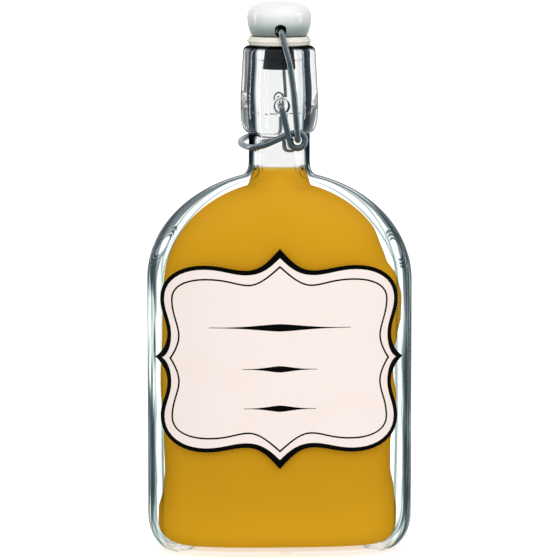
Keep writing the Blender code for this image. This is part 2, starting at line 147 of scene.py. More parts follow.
def axes(tree, position):
    """The X, Y and Z of a point, by name."""
    return add_node(tree, "ShaderNodeSeparateXYZ", {0: position}).outputs


def start_material(name):
    """An empty node material and its tree."""
    material = bpy.data.materials.new(name)
    material.use_nodes = True
    material.node_tree.nodes.clear()
    return material, material.node_tree


def close_material(tree, shader):
    """Link a shader to a new output."""
    add_node(tree, "ShaderNodeOutputMaterial", {"Surface": shader})


def paint(tree, inputs):
    """Close a material with one principled shader."""
    close_material(tree, add_node(tree, "ShaderNodeBsdfPrincipled", inputs))


def add_item(name, data):
    """A new object in the scene."""
    item = bpy.data.objects.new(name, data)
    bpy.context.scene.collection.objects.link(item)
    return item


print("syrup colour in linear light:", [round(c, 3) for c in linear_rgba("#D49A1D")])

# %% [markdown]
# ## The camera
#
# A product photo like this one is taken from some way off with a long lens, which keeps the
# sides of the flask almost parallel. The camera looks slightly down and stands a few degrees to
# the left of straight ahead. Its angle of view is worked out from the width of the frame at the
# flask, so that the distance can be changed without changing the framing.

# %% Camera
CAMERA_AZIMUTH = -2.5
CAMERA_ELEVATION = 7.0
CAMERA_DISTANCE = 1.45
FRAME_WIDTH = 228.5 * MM
AIM = Vector((0.3, 0.0, 110.6)) * MM


def aim(item, azimuth, elevation, distance):
    """Stand a camera or lamp off at two angles in degrees and turn it to the flask."""
    azimuth, elevation = math.radians(azimuth), math.radians(elevation)
    away = Vector((math.sin(azimuth) * math.cos(elevation),
                   -math.cos(azimuth) * math.cos(elevation), math.sin(elevation)))
    item.location = AIM + away * distance
    item.rotation_euler = (-away).to_track_quat("-Z", "Y").to_euler()


camera_data = bpy.data.cameras.new("camera")
camera_data.sensor_width = 36.0
camera_data.lens = camera_data.sensor_width * CAMERA_DISTANCE / FRAME_WIDTH
camera = add_item("camera", camera_data)
aim(camera, CAMERA_AZIMUTH, CAMERA_ELEVATION, CAMERA_DISTANCE)
bpy.context.scene.camera = camera
bpy.context.scene.view_settings.view_transform = "Standard"
print("lens:", round(camera_data.lens), "mm at", CAMERA_DISTANCE, "m")

# %% [markdown]
# ## The floor
#
# The floor is a large matt white sheet. It glows a little, so that it stays white right up to
# the foot of the flask. Rays that bounce off the flask or bend in its glass pass the floor by
# and meet the world instead, which is easier to steer.

# %% Floor
FLOOR_HALF = 6.0
FLOOR_GLOW = 0.5


def make_floor():
    """A large matt white floor at the height that the flask stands on."""
    mesh = bpy.data.meshes.new("floor")
    corners = [(-FLOOR_HALF, -FLOOR_HALF, 0), (FLOOR_HALF, -FLOOR_HALF, 0),
               (FLOOR_HALF, FLOOR_HALF, 0), (-FLOOR_HALF, FLOOR_HALF, 0)]
    mesh.from_pydata(corners, [], [(0, 1, 2, 3)])
    floor = add_item("floor", mesh)
    material, tree = start_material("matt_white_floor")
    paint(tree, {
        "Base Color": linear_rgba("#FDFDFD"), "Roughness": 0.9, "Specular IOR Level": 0.0,
        "Emission Color": WHITE, "Emission Strength": FLOOR_GLOW})
    mesh.materials.append(material)
    floor.visible_diffuse = False
    floor.visible_glossy = False
    floor.visible_transmission = False


make_floor()
print("floor:", 2 * FLOOR_HALF, "m across")

# %% [markdown]
# ## World and lamps
#
# The light is that of a white studio. The camera sees pure white. Matt pieces are lit by a white
# dome with dimmer sides, which rounds them off, and by one large and nearly frontal lamp. Glass
# and metal show what they mirror and bend, so they need more than an even white room, where
# they would vanish. They see a white backdrop and ceiling, but a grey room beside and in front
# of the flask, and two tall narrow lamps that draw bright lines. The large lamp is hidden from
# them. A small spot lamp from above whitens the top of the stopper.

# %% World and lamps
DOME_STRENGTH = 0.90
BACKDROP_STRENGTH = 1.05
ROOM_STRENGTH = 1.0
STOPPER_TOP = Vector((0, 0, 0.219))


def make_world():
    """White for the camera, a dome for matt pieces, and a grey room for glass and metal."""
    world = bpy.data.worlds.new("white_studio")
    bpy.context.scene.world = world
    world.use_nodes = True
    tree = world.node_tree
    tree.nodes.clear()
    way = axes(tree, add_node(tree, "ShaderNodeTexCoord").outputs["Generated"])
    central = between(tree, number(tree, "ABSOLUTE", way["X"]), 0.85, 0.50)
    dome = ramp(tree, central, [(0.0, "#4A4E50"), (1.0, "#FFFFFF")])
    behind = between(tree, way["Y"], 0.05, 0.36)
    overhead = between(tree, way["Z"], 0.45, 0.75)
    room = ramp(tree, number(tree, "MAXIMUM", behind, overhead),
                [(0.0, "#828D92"), (1.0, "#FFFFFF")])
    room_light, dome_light, backdrop = [
        add_node(tree, "ShaderNodeBackground", {"Color": colour, "Strength": strength})
        for colour, strength in (
            (room, ROOM_STRENGTH), (dome, DOME_STRENGTH), (WHITE, BACKDROP_STRENGTH))]
    path = add_node(tree, "ShaderNodeLightPath").outputs
    lit = add_node(tree, "ShaderNodeMixShader", {
        0: path["Is Diffuse Ray"], 1: room_light, 2: dome_light})
    seen = add_node(tree, "ShaderNodeMixShader", {0: path["Is Camera Ray"], 1: lit, 2: backdrop})
    add_node(tree, "ShaderNodeOutputWorld", {"Surface": seen})


def add_lamp(name, kind, power, **settings):
    """A lamp with its settings."""
    data = bpy.data.lights.new(name, kind)
    data.energy = power
    for setting, value in settings.items():
        setattr(data, setting, value)
    return add_item(name, data)


make_world()
key = add_lamp("key", "AREA", 21.0, shape="RECTANGLE", size=2.0, size_y=2.0)
aim(key, CAMERA_AZIMUTH, 10, 2.2)
key.visible_glossy = False
key.visible_transmission = False
for name, azimuth in (("left_strip", -100), ("right_strip", 80)):
    strip = add_lamp(name, "AREA", 2.0, shape="RECTANGLE", size=0.10, size_y=1.0)
    aim(strip, azimuth, 15, 1.1)
spot = add_lamp("stopper_spot", "SPOT", 14.0, spot_size=math.radians(3.6), spot_blend=0.4,
                shadow_soft_size=0.06)
spot.location = (-0.02, -0.32, 1.15)
spot.rotation_euler = (spot.location - STOPPER_TOP).to_track_quat("Z", "Y").to_euler()
spot.visible_glossy = False

# %% [markdown]
# ## The glass
#
# The flask is blown into a mould, so its outside is exact and its inside only follows it
# loosely. It is one closed skin of level rings: up the outside, over the lip and down the
# inside. Low on the body a ring is a rounded oblong, a superellipse, and up the shoulder it
# turns by steps into the circle of the neck. The same rule with more rings than a simulation
# needs gives curves that stay smooth in reflections.

# %% Sizes of the flask
BODY_HALF_WIDTH = 53.9 * MM
BODY_HALF_DEPTH = 27.0 * MM
BODY_SQUARENESS = 3.2
BASE_CORNER_WIDTH = 11.0 * MM
BASE_CORNER_HEIGHT = 15.0 * MM
BASE_RING_WIDTH = 5.5 * MM
BASE_RECESS_STEP = 2.0 * MM
BASE_RECESS_HEIGHT = 1.2 * MM
SHOULDER_Z = 111.3 * MM
SHOULDER_HEIGHT = 44.1 * MM
SHOULDER_END_RADIUS = 15.5 * MM
DEPTH_SHOULDER_Z = 118.0 * MM
NECK_RADIUS = 12.4 * MM
NECK_BOTTOM_Z = 160.0 * MM
NECK_FILLET_RISE = 0.7 * MM
COLLAR_BOTTOM_Z = 171.2 * MM
COLLAR_STEP_HEIGHT = 0.5 * MM
COLLAR_STEP_RADIUS = 12.9 * MM
COLLAR_RADIUS = 15.7 * MM
COLLAR_FULL_Z = 179.3 * MM
COLLAR_TAPER_Z = 186.0 * MM
LIP_RADIUS = 14.65 * MM
LIP_EDGE_RADIUS = 2.2 * MM
LIP_Z = 206.2 * MM

CAVITY_HALF_WIDTH = 47.5 * MM
CAVITY_HALF_DEPTH = 23.0 * MM
CAVITY_SQUARENESS = 3.0
CAVITY_FLOOR_Z = 3.0 * MM
CAVITY_CORNER_WIDTH = 7.5 * MM
CAVITY_CORNER_HEIGHT = 8.5 * MM
CAVITY_SHOULDER_Z = 106.3 * MM
CAVITY_SHOULDER_HEIGHT = 44.6 * MM
CAVITY_SHOULDER_END_RADIUS = 13.0 * MM
CAVITY_DEPTH_SHOULDER_Z = 112.0 * MM
CAVITY_NECK_RADIUS = 9.6 * MM
CAVITY_NECK_Z = 162.0 * MM
CAVITY_FILLET_WIDTH = 2.0 * MM
CAVITY_FILLET_RISE = 1.4 * MM
BORE_RADIUS = 8.3 * MM
BORE_BULGE = 0.5 * MM
BORE_BULGE_Z = 187.0 * MM
BORE_BULGE_REACH = 13.0 * MM
BORE_EDGE_RADIUS = 1.0 * MM
PIVOT_Z = 182.8 * MM
DIMPLE_RADIUS = 3.4 * MM
DIMPLE_DEPTH = 1.6 * MM
DIMPLE_WALL = 0.9 * MM
DIMPLE_X = 0.35 * MM
RING_POINTS = 256
CIRCLE = 2.0

print("flask:", 2 * BODY_HALF_WIDTH, "by", 2 * BODY_HALF_DEPTH, "m, lip at", LIP_Z, "m")

# %% [markdown]
# ## Curves
#
# A few functions draw every profile. An arc rounds a corner, a Bezier curve swings from one form
# into the next, and evenly spaced points fill a straight wall. A ring is one level section, and
# a shoulder is a stack of rings whose width and depth shrink along two different ellipses. All
# of them hand back plain lists of numbers in metres.

# %% Curves that the pieces share
def smooth_step(value):
    """0 to 1 with level ends."""
    value = min(max(value, 0.0), 1.0)
    return value * value * (3 - 2 * value)


def quarter_arc(corner, size, start, end, steps):
    """Radius and height along part of an ellipse about a corner's centre, angles in degrees."""
    angles = [math.radians(start + (end - start) * step / steps) for step in range(steps + 1)]
    return [(corner[0] + size[0] * math.cos(angle), corner[1] + size[1] * math.sin(angle))
            for angle in angles]


def bezier(points, steps):
    """Points of a Bezier curve of any degree, without its first one."""
    curve = []
    for step in range(1, steps + 1):
        t = step / steps
        row = [Vector(point) for point in points]
        while len(row) > 1:
            row = [a.lerp(b, t) for a, b in zip(row, row[1:])]
        curve.append(tuple(row[0]))
    return curve


def straight(start, end, steps):
    """Evenly spaced points from start to end, without the first one."""
    return [tuple(Vector(start).lerp(Vector(end), step / steps)) for step in range(1, steps + 1)]


def section_ring(half_width, half_depth, squareness, z, points=RING_POINTS):
    """One level ring, from +X round by +Y."""
    power = 2.0 / squareness
    ring = []
    for step in range(points):
        angle = 2 * math.pi * step / points
        c, s = math.cos(angle), math.sin(angle)
        ring.append((half_width * math.copysign(abs(c) ** power, c),
                     half_depth * math.copysign(abs(s) ** power, s), z))
    return ring


def shoulder_sections(body, foot_z, depth_foot_z, height, end_radius, steps):
    """Rings of a shoulder that rises as one ellipse in width and another in depth."""
    half_width, half_depth, squareness = body
    end_rise = height * math.sqrt(1 - (end_radius / half_width) ** 2)
    depth_height = foot_z + end_rise - depth_foot_z
    depth_height /= math.sqrt(1 - (end_radius / half_depth) ** 2)
    end_angle = math.asin(end_rise / height)
    sections = []
    for step in range(steps + 1):
        angle = end_angle * step / steps
        z = foot_z + height * math.sin(angle)
        width = half_width * math.cos(angle)
        rise = max(0.0, z - depth_foot_z) / depth_height
        depth = min(width, half_depth * math.sqrt(max(0.0, 1 - rise ** 2)))
        roundness = smooth_step((z - foot_z) / end_rise)
        sections.append((width, depth, squareness + (CIRCLE - squareness) * roundness, z))
    return sections


def round_sections(profile):
    """Rings of a round form, from its radii and heights."""
    return [(radius, radius, CIRCLE, z) for radius, z in profile]


print("one ring has", RING_POINTS, "points")


# %% [markdown]
# ## A skin from rings
#
# A lofted skin joins each ring to the next with quads. The same helper makes the syrup and the
# turned pieces, either closed on itself like a tyre or closed by a flat face at each end. The
# normals are worked out again at the end, because a ring that runs the other way would
# otherwise leave the skin inside out.

# %% Loft
def outward(mesh):
    """Turn every face of a closed mesh to the outside."""
    work = bmesh.new()
    work.from_mesh(mesh)
    bmesh.ops.recalc_face_normals(work, faces=work.faces)
    work.to_mesh(mesh)
    work.free()


def new_piece(name, points, faces, materials, sharp):
    """A closed mesh, smooth-shaded up to an angle in degrees, that faces outwards."""
    mesh = bpy.data.meshes.new(name)
    mesh.from_pydata(points, [], faces)
    outward(mesh)
    mesh.shade_smooth()
    mesh.set_sharp_from_angle(angle=math.radians(sharp))
    for material in materials:
        mesh.materials.append(material)
    return add_item(name, mesh)


def ring_faces(low, high, count):
    """Quads that join two closed rows of points, each given by its first point."""
    return [(low + step, low + (step + 1) % count, high + (step + 1) % count, high + step)
            for step in range(count)]


def loft(name, rings, material, loop=False, sharp=35):
    """Join rings of equal length into one closed, smooth-shaded skin."""
    count, rows = len(rings[0]), len(rings)
    faces = []
    for row in range(rows if loop else rows - 1):
        faces += ring_faces(row * count, (row + 1) % rows * count, count)
    if not loop:
        faces.append(tuple(reversed(range(count))))
        faces.append(tuple(range((rows - 1) * count, rows * count)))
    return new_piece(name, [point for ring in rings for point in ring], faces, [material], sharp)


def place(item, body, slot, *nodes):
    """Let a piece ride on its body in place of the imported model's nodes."""
    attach(item, body)
    if nodes:
        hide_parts(*nodes)
    print(item.name, "rides on", body, "with", len(item.data.polygons), "faces")


# %% [markdown]
# ## The finish of the glass
#
# Clear soda-lime glass has no colour of its own in a thin wall. What draws it on a white ground
# is its edges. Where the wall is seen end on, its colour darkens to slate grey. Part of that is
# the long path of light through the glass, and most of it is painted shade and painted
# reflection that stand in for dark surroundings bent into the edges. Two kinds of glass are
# mixed here by height. The neck bends light like a solid lens, which makes the bore and the plug
# look wider than they are. The body lets light straight through, so that the syrup stands clear
# of the thick side walls as it does to the eye. Both take that edge colour from how far the
# surface turns away from the viewer. The slope of the shoulder is left out of that, so that only
# the sides of the flask darken.

# %% Glass material
REFRACTION_Z = (156.8 * MM, 159.0 * MM)
GLASS_IOR = 1.5
STREAK_SCALE = 28.0
STREAK_AMOUNT = 0.15
WALL_TOP_Z = 150.0 * MM
MIRROR_POWER = 9.0
MIRROR_MOST = 0.35
MIRROR_LEAST = 0.008

# The body's edge colours: the dark stops are painted shade and painted reflection of dark
# surroundings.
WALL_SHADES = [
    (0.00, "#FFFFFF"), (0.28, "#FFFFFF"), (0.33, "#DDE2DF"), (0.40, "#C8D2CE"),
    (0.45, "#91B2A9"), (0.49, "#66757A"), (0.54, "#3A4449"), (0.75, "#262F33"), (1.00, "#1E2629")]
DARK_PROFILE = [
    (0.00, 0.0), (0.21, 0.0), (0.225, 0.46), (0.25, 0.50), (0.265, 0.34), (0.285, 0.36),
    (0.30, 0.12), (0.35, 0.12), (0.37, 0.38), (0.43, 0.40), (0.46, 0.48), (0.50, 0.62),
    (0.56, 0.74), (0.66, 0.70), (0.70, 0.44), (0.73, 0.34), (0.76, 0.64), (0.88, 0.62),
    (0.94, 0.48), (1.00, 0.42)]
PALE_PROFILE = [
    (0.00, 0.0), (0.20, 0.0), (0.23, 0.36), (0.30, 0.39), (0.34, 0.22), (0.37, 0.22), (0.41, 0.41),
    (0.60, 0.41), (0.66, 0.34), (0.74, 0.40), (0.80, 0.44), (0.86, 0.47), (0.93, 0.40),
    (1.00, 0.40)]
FILAMENTS = 0.85
FILAMENT_TURNS = 8.0
FILAMENT_LENGTH = 26 * MM
OUTLINE_SHADE = 0.48
# Greys of the rings in an oval of painted reflection.
SHOULDER_REFLECTION_SHADES = [
    (0.00, 0.10), (0.40, 0.10), (0.50, 0.90), (0.58, 0.30), (0.66, 0.90), (0.74, 0.42),
    (0.82, 0.85), (0.92, 0.36), (1.00, 0.40)]
# Ovals of painted reflection on the shoulders, rings of light and dark like a mirrored window.
# Centre, half width and half length in mm, and lean from upright in degrees.
SHOULDER_REFLECTIONS = ((46.6, 124.9, 4.2, 9.4, 26), (-47.6, 126.4, 2.5, 11.0, -36))
# How much of the darker profile of painted shade is used, by height, on the left and on the right.
LEFT_DARKNESS = [(0.0, 0.25), (0.12, 0.3), (0.17, 1.0), (0.28, 0.95), (0.40, 0.55),
                 (0.46, 0.0), (0.70, 0.05), (0.76, 1.0), (1.0, 1.0)]
RIGHT_DARKNESS = [(0.0, 0.3), (0.1, 0.5), (0.15, 0.9), (0.55, 1.0), (0.66, 0.7), (0.76, 1.0),
                  (1.0, 1.0)]
# Tints of the neck by how far the surface turns away: the dark stops are painted shade.
COLLAR_TINT_AND_SHADE = [
    (0.00, "#FFFFFF"), (0.74, "#FCFDFD"), (0.82, "#7D878B"), (1.00, "#4F5A5E")]
NECK_TINT_AND_SHADE = [
    (0.00, "#FFFFFF"), (0.40, "#FDFEFE"), (0.46, "#8A969B"), (0.52, "#46525A"),
    (0.80, "#39434A"), (1.00, "#6C777C")]
BORE_TINT_AND_SHADE = [
    (0.00, "#FFFFFF"), (0.30, "#FCFDFD"), (0.325, "#A9B6C0"), (0.36, "#8794A0"),
    (0.39, "#28323C"), (0.90, "#12181E"), (1.00, "#2A333A")]
# Heights where painted shade darkens the top of the lip under the gasket.
LIP_PAINTED_SHADE_Z = (204.7 * MM, 205.6 * MM)
FOOT_OF_COLLAR_Z = (170.4 * MM, 171.6 * MM)
PAINTED_SHADE_SLATE = "#2C3438"
# Height, half width and wobble of two fine lines round the bore.
BORE_STEP = (179.2 * MM, 0.35 * MM, 0.9 * MM)
BORE_GROOVE = (200.6 * MM, 0.22 * MM, 0.2 * MM)


def edge_factor(tree, position):
    """How far the surface turns from the viewer, slopes left out, with slow wavy streaks."""
    normal = add_node(tree, "ShaderNodeNewGeometry").outputs["Normal"]
    side = vector(tree, "NORMALIZE", vector(tree, "MULTIPLY", normal, (1.0, 1.0, 0.0)))
    facing = add_node(tree, "ShaderNodeLayerWeight", {"Blend": 0.5}).outputs["Facing"]
    sideways = add_node(tree, "ShaderNodeLayerWeight", {
        "Blend": 0.5, "Normal": side}).outputs["Facing"]
    least = number(tree, "MINIMUM", facing, sideways)
    stretched = vector(tree, "MULTIPLY", position, (1.0, 1.0, 0.8))
    streaks = noise(tree, stretched, STREAK_SCALE)
    shifted = number(tree, "MULTIPLY_ADD", streaks, 2 * STREAK_AMOUNT, -STREAK_AMOUNT)
    fading = between(tree, least, 0.15, 0.45)
    return facing, number(tree, "MULTIPLY_ADD", shifted, fading, least, clamp=True)


def by_height(tree, at, left, right):
    """A grey by height, from one row of stops on the left and another on the right."""
    height = number(tree, "DIVIDE", at["Z"], WALL_TOP_Z, clamp=True)
    on_right = number(tree, "GREATER_THAN", at["X"], 0.0)
    return blend(tree, on_right, ramp(tree, height, left), ramp(tree, height, right))


def wall_tint_and_shade(tree, position, edge):
    """The body's painted shade and reflection at its edges, darker or paler by height and side."""
    at = axes(tree, position)
    darkness = by_height(tree, at, LEFT_DARKNESS, RIGHT_DARKNESS)
    base = blend(tree, darkness, ramp(tree, edge, PALE_PROFILE), ramp(tree, edge, DARK_PROFILE))
    across = number(tree, "MULTIPLY", edge, FILAMENT_TURNS)
    up = number(tree, "DIVIDE", at["Z"], FILAMENT_LENGTH)
    side = number(tree, "MULTIPLY", number(tree, "GREATER_THAN", at["X"], 0.0), 7.3)
    spot = add_node(tree, "ShaderNodeCombineXYZ", {0: across, 1: up, 2: side})
    swing = number(tree, "MULTIPLY_ADD", noise(tree, spot, 1.0, 1.5), FILAMENTS, -FILAMENTS / 2)
    fade = between(tree, edge, 0.24, 0.40)
    shade = number(tree, "MULTIPLY_ADD", swing, fade, base)
    outline = between(tree, edge, 0.82, 0.90, 0.0, OUTLINE_SHADE)
    shade = number(tree, "MAXIMUM", shade, outline)
    shown = number(tree, "MULTIPLY", number(tree, "LESS_THAN", at["Y"], 0.0), fade)
    # Ovals of painted reflection on the front shoulders.
    for oval_reflection in SHOULDER_REFLECTIONS:
        away = reflection_distance(tree, position, *oval_reflection)
        within = number(tree, "MULTIPLY", between(tree, away, 1.0, 0.86), shown)
        shade = add_node(tree, "ShaderNodeMix", {
            0: within, 2: shade, 3: ramp(tree, away, SHOULDER_REFLECTION_SHADES)})
    return ramp(tree, shade, WALL_SHADES, walls=2)


def reflection_distance(tree, position, x, z, half_width, half_length, lean):
    """0 at the middle of an oval of painted reflection on the shoulder, and 1 at its edge."""
    moved = vector(tree, "SUBTRACT", position, (x * MM, 0.0, z * MM))
    upright = add_node(tree, "ShaderNodeVectorRotate", {
        "Vector": moved, "Angle": math.radians(lean)}, rotation_type="Y_AXIS")
    sized = vector(tree, "MULTIPLY", upright, (1 / (half_width * MM), 0.0,
                                               1 / (half_length * MM)))
    away = add_node(tree, "ShaderNodeVectorMath", {0: sized}, operation="LENGTH")
    return away.outputs["Value"]


def ring_line(tree, position, height, z, half_width, wobble):
    """1 on a thin, broken and wavy level line round the bore, and 0 elsewhere."""
    wavy = number(tree, "MULTIPLY_ADD", noise(tree, position, 260.0), 2 * wobble, -wobble - z)
    away = number(tree, "ABSOLUTE", number(tree, "ADD", height, wavy))
    near = between(tree, away, half_width, 0.4 * half_width)
    kept = between(tree, noise(tree, position, 620.0), 0.44, 0.52)
    return number(tree, "MULTIPLY", near, kept)


def lens_tint_and_shade(tree, position, height, facing):
    """The neck's tint: painted shade where bore and edges turn away, at the lip and round dimples.

    The outer skin tints what enters it from the air, the bore what meets it from the glass.
    """
    outer = blend(tree, between(tree, height, *FOOT_OF_COLLAR_Z),
                  ramp(tree, facing, NECK_TINT_AND_SHADE), ramp(tree, facing, COLLAR_TINT_AND_SHADE))
    lines = number(tree, "MAXIMUM", ring_line(tree, position, height, *BORE_STEP),
                   ring_line(tree, position, height, *BORE_GROOVE))
    bore = blend(tree, lines, ramp(tree, facing, BORE_TINT_AND_SHADE), linear_rgba("#6E777A"))
    inside = attribute(tree, "inside")
    from_air = blend(tree, inside, outer, WHITE)
    from_glass = blend(tree, inside, WHITE, bore)
    leaving = add_node(tree, "ShaderNodeNewGeometry").outputs["Backfacing"]
    both = blend(tree, leaving, from_air, from_glass)
    # Painted shade on the lip under the gasket and round the dimples' rims.
    lip = between(tree, height, *LIP_PAINTED_SHADE_Z)
    darkened = number(tree, "MAXIMUM", lip, attribute(tree, "dimple_rim_shade"))
    return blend(tree, darkened, both, linear_rgba(PAINTED_SHADE_SLATE))


def make_glass_material():
    """Moulded clear soda-lime glass, lens-like in the neck and see-through in the body."""
    material, tree = start_material("moulded_soda_lime_glass")
    position = object_position(tree)
    height = axes(tree, position)["Z"]
    facing, edge = edge_factor(tree, position)
    lens = add_node(tree, "ShaderNodeBsdfGlass", {
        "Color": lens_tint_and_shade(tree, position, height, facing), "Roughness": 0.0, "IOR": GLASS_IOR})
    mirror_share = number(tree, "MULTIPLY_ADD", number(tree, "POWER", facing, MIRROR_POWER),
                          MIRROR_MOST, MIRROR_LEAST, clamp=True)
    clear = add_node(tree, "ShaderNodeBsdfTransparent", {
        "Color": wall_tint_and_shade(tree, position, edge)})
    shine = add_node(tree, "ShaderNodeBsdfGlossy", {"Color": WHITE, "Roughness": 0.02})
    wall = add_node(tree, "ShaderNodeMixShader", {0: mirror_share, 1: clear, 2: shine})
    in_neck = between(tree, height, *REFRACTION_Z, shape="SMOOTHSTEP")
    glass = add_node(tree, "ShaderNodeMixShader", {0: in_neck, 1: wall, 2: lens})
    is_shadow = add_node(tree, "ShaderNodeLightPath").outputs["Is Shadow Ray"]
    lets_light_in = add_node(tree, "ShaderNodeBsdfTransparent", {
        "Color": linear_rgba("#FBFCFC")})
    close_material(tree, add_node(tree, "ShaderNodeMixShader", {
        0: is_shadow, 1: glass, 2: lets_light_in}))
    return material


glass_material = make_glass_material()
print("glass nodes:", len(glass_material.node_tree.nodes))

# %% [markdown]
# ## An uneven wall
#
# Blown glass is seldom of even thickness. On the left and the right the inner line of this
# flask swings in and out by up to two millimetres. Two lists of heights and offsets hold that
# line. The same shift moves the cavity's wall and the side of the syrup, so the two always
# meet, and it fades out towards the front and the back.

# %% An uneven wall
CAVITY_ROWS = 56
# How far the cavity's wall stands out from an even one at some heights, both in mm.
LEFT_WAVES = ((0, 0.0), (9, 2.0), (16, 1.9), (24, 0.0), (32, -0.7), (45, -0.3), (69, 0.9),
              (90, 0.2), (110, -0.3), (125, 0.0), (150, 0.0))
RIGHT_WAVES = ((0, 0.0), (9, 0.2), (16, 0.3), (24, -0.6), (34, -2.2), (44, -2.2), (56, 0.0),
               (63, 0.2), (72, -1.0), (80, -1.4), (88, 0.4), (96, 1.9), (104, 2.2), (112, 0.8),
               (119, -2.2), (125, -2.2), (134, -0.4), (150, 0.0))


def wave_at(waves, z):
    """A smooth curve through a list of heights and offsets."""
    for (low, start), (high, end) in zip(waves, waves[1:]):
        if z <= high * MM:
            return (start + (end - start) * smooth_step((z / MM - low) / (high - low))) * MM
    return 0.0


def uneven(ring):
    """Move the left and the right of a cavity ring in or out."""
    left, right = wave_at(LEFT_WAVES, ring[0][2]), wave_at(RIGHT_WAVES, ring[0][2])
    moved = []
    for x, y, z in ring:
        share = min(1.0, abs(x) / CAVITY_HALF_WIDTH) ** 1.5
        moved.append((x + (right if x > 0 else -left) * share, y, z))
    return moved


print("widest and narrowest:", max(w for z, w in RIGHT_WAVES), min(w for z, w in RIGHT_WAVES))

# %% [markdown]
# ## The flask
#
# The rings climb the outside from the recessed base over the shoulder, the neck and the collar
# to the lip, and come back down the bore and the cavity. A round dimple on the front and the
# back of the collar takes an end of the lever. Two attributes tell the material which points
# belong to the inner skin and which to the rim of a dimple, where painted shade darkens the glass.

# %% Glass piece
def outer_sections():
    """The outside, from the recessed base up to the top of the lip."""
    inset = BASE_CORNER_WIDTH + BASE_RING_WIDTH
    recess = inset + BASE_RECESS_STEP
    sections = [(BODY_HALF_WIDTH - recess, BODY_HALF_DEPTH - recess, BODY_SQUARENESS,
                 BASE_RECESS_HEIGHT),
                (BODY_HALF_WIDTH - inset, BODY_HALF_DEPTH - inset, BODY_SQUARENESS, 0.0)]
    corner = quarter_arc((-BASE_CORNER_WIDTH, BASE_CORNER_HEIGHT),
                         (BASE_CORNER_WIDTH, BASE_CORNER_HEIGHT), -90, 0, 14)
    sections += [(BODY_HALF_WIDTH + offset, BODY_HALF_DEPTH + offset, BODY_SQUARENESS, z)
                 for offset, z in corner]
    body = (BODY_HALF_WIDTH, BODY_HALF_DEPTH, BODY_SQUARENESS)
    sections += shoulder_sections(body, SHOULDER_Z, DEPTH_SHOULDER_Z, SHOULDER_HEIGHT,
                                  SHOULDER_END_RADIUS, 36)
    end_z = sections[-1][3]
    neck_foot = (NECK_RADIUS, NECK_BOTTOM_Z)
    neck_top = (NECK_RADIUS, COLLAR_BOTTOM_Z - COLLAR_STEP_HEIGHT)
    profile = bezier([(SHOULDER_END_RADIUS, end_z), (NECK_RADIUS, end_z + NECK_FILLET_RISE),
                      neck_foot], 10)
    profile += straight(neck_foot, neck_top, 4)
    profile += quarter_arc((COLLAR_STEP_RADIUS, COLLAR_FULL_Z),
                           (COLLAR_RADIUS - COLLAR_STEP_RADIUS, COLLAR_FULL_Z - COLLAR_BOTTOM_Z),
                           -90, 0, 12)
    profile += straight((COLLAR_RADIUS, COLLAR_FULL_Z), (COLLAR_RADIUS, COLLAR_TAPER_Z), 20)
    lip = quarter_arc((LIP_RADIUS - LIP_EDGE_RADIUS, LIP_Z - LIP_EDGE_RADIUS),
                      (LIP_EDGE_RADIUS, LIP_EDGE_RADIUS), 0, 90, 8)
    profile += straight((COLLAR_RADIUS, COLLAR_TAPER_Z), lip[0], 36)[:-1] + lip
    return sections + round_sections(profile)


def cavity_sections(inset):
    """The inside from its floor up to the neck, drawn in by an inset all round."""
    width, depth = CAVITY_HALF_WIDTH - inset, CAVITY_HALF_DEPTH - inset
    floor_z = CAVITY_FLOOR_Z + inset
    corner = quarter_arc((-CAVITY_CORNER_WIDTH, floor_z + CAVITY_CORNER_HEIGHT),
                         (CAVITY_CORNER_WIDTH, CAVITY_CORNER_HEIGHT), -90, 0, 12)
    sections = [(width + offset, depth + offset, CAVITY_SQUARENESS, z) for offset, z in corner]
    rise = CAVITY_SHOULDER_Z - inset - corner[-1][1]
    sections += [(width, depth, CAVITY_SQUARENESS, corner[-1][1] + rise * row / CAVITY_ROWS)
                 for row in range(1, CAVITY_ROWS)]
    sections += shoulder_sections((width, depth, CAVITY_SQUARENESS), CAVITY_SHOULDER_Z - inset,
                                  CAVITY_DEPTH_SHOULDER_Z - inset, CAVITY_SHOULDER_HEIGHT,
                                  CAVITY_SHOULDER_END_RADIUS - inset, 32)
    end_z = sections[-1][3]
    mouth = CAVITY_NECK_RADIUS - inset
    neck = bezier([(CAVITY_SHOULDER_END_RADIUS - inset, end_z),
                   (mouth + CAVITY_FILLET_WIDTH, end_z + CAVITY_FILLET_RISE),
                   (mouth, CAVITY_NECK_Z)], 14)
    return sections + round_sections(neck)


def bore_profile():
    """Radius and height up the bore, which swells a little behind the collar."""
    profile = []
    foot, head = (CAVITY_NECK_RADIUS, CAVITY_NECK_Z), (BORE_RADIUS, LIP_Z - BORE_EDGE_RADIUS)
    for radius, z in straight(foot, head, 40):
        narrowing = smooth_step((z - CAVITY_NECK_Z) / (7 * MM))
        swell = smooth_step(1 - abs(z - BORE_BULGE_Z) / BORE_BULGE_REACH)
        radius = CAVITY_NECK_RADIUS + (BORE_RADIUS - CAVITY_NECK_RADIUS) * narrowing
        profile.append((radius + BORE_BULGE * swell, z))
    return profile + quarter_arc((BORE_RADIUS + BORE_EDGE_RADIUS, LIP_Z - BORE_EDGE_RADIUS),
                                 (-BORE_EDGE_RADIUS, BORE_EDGE_RADIUS), 0, 90, 4)[1:]


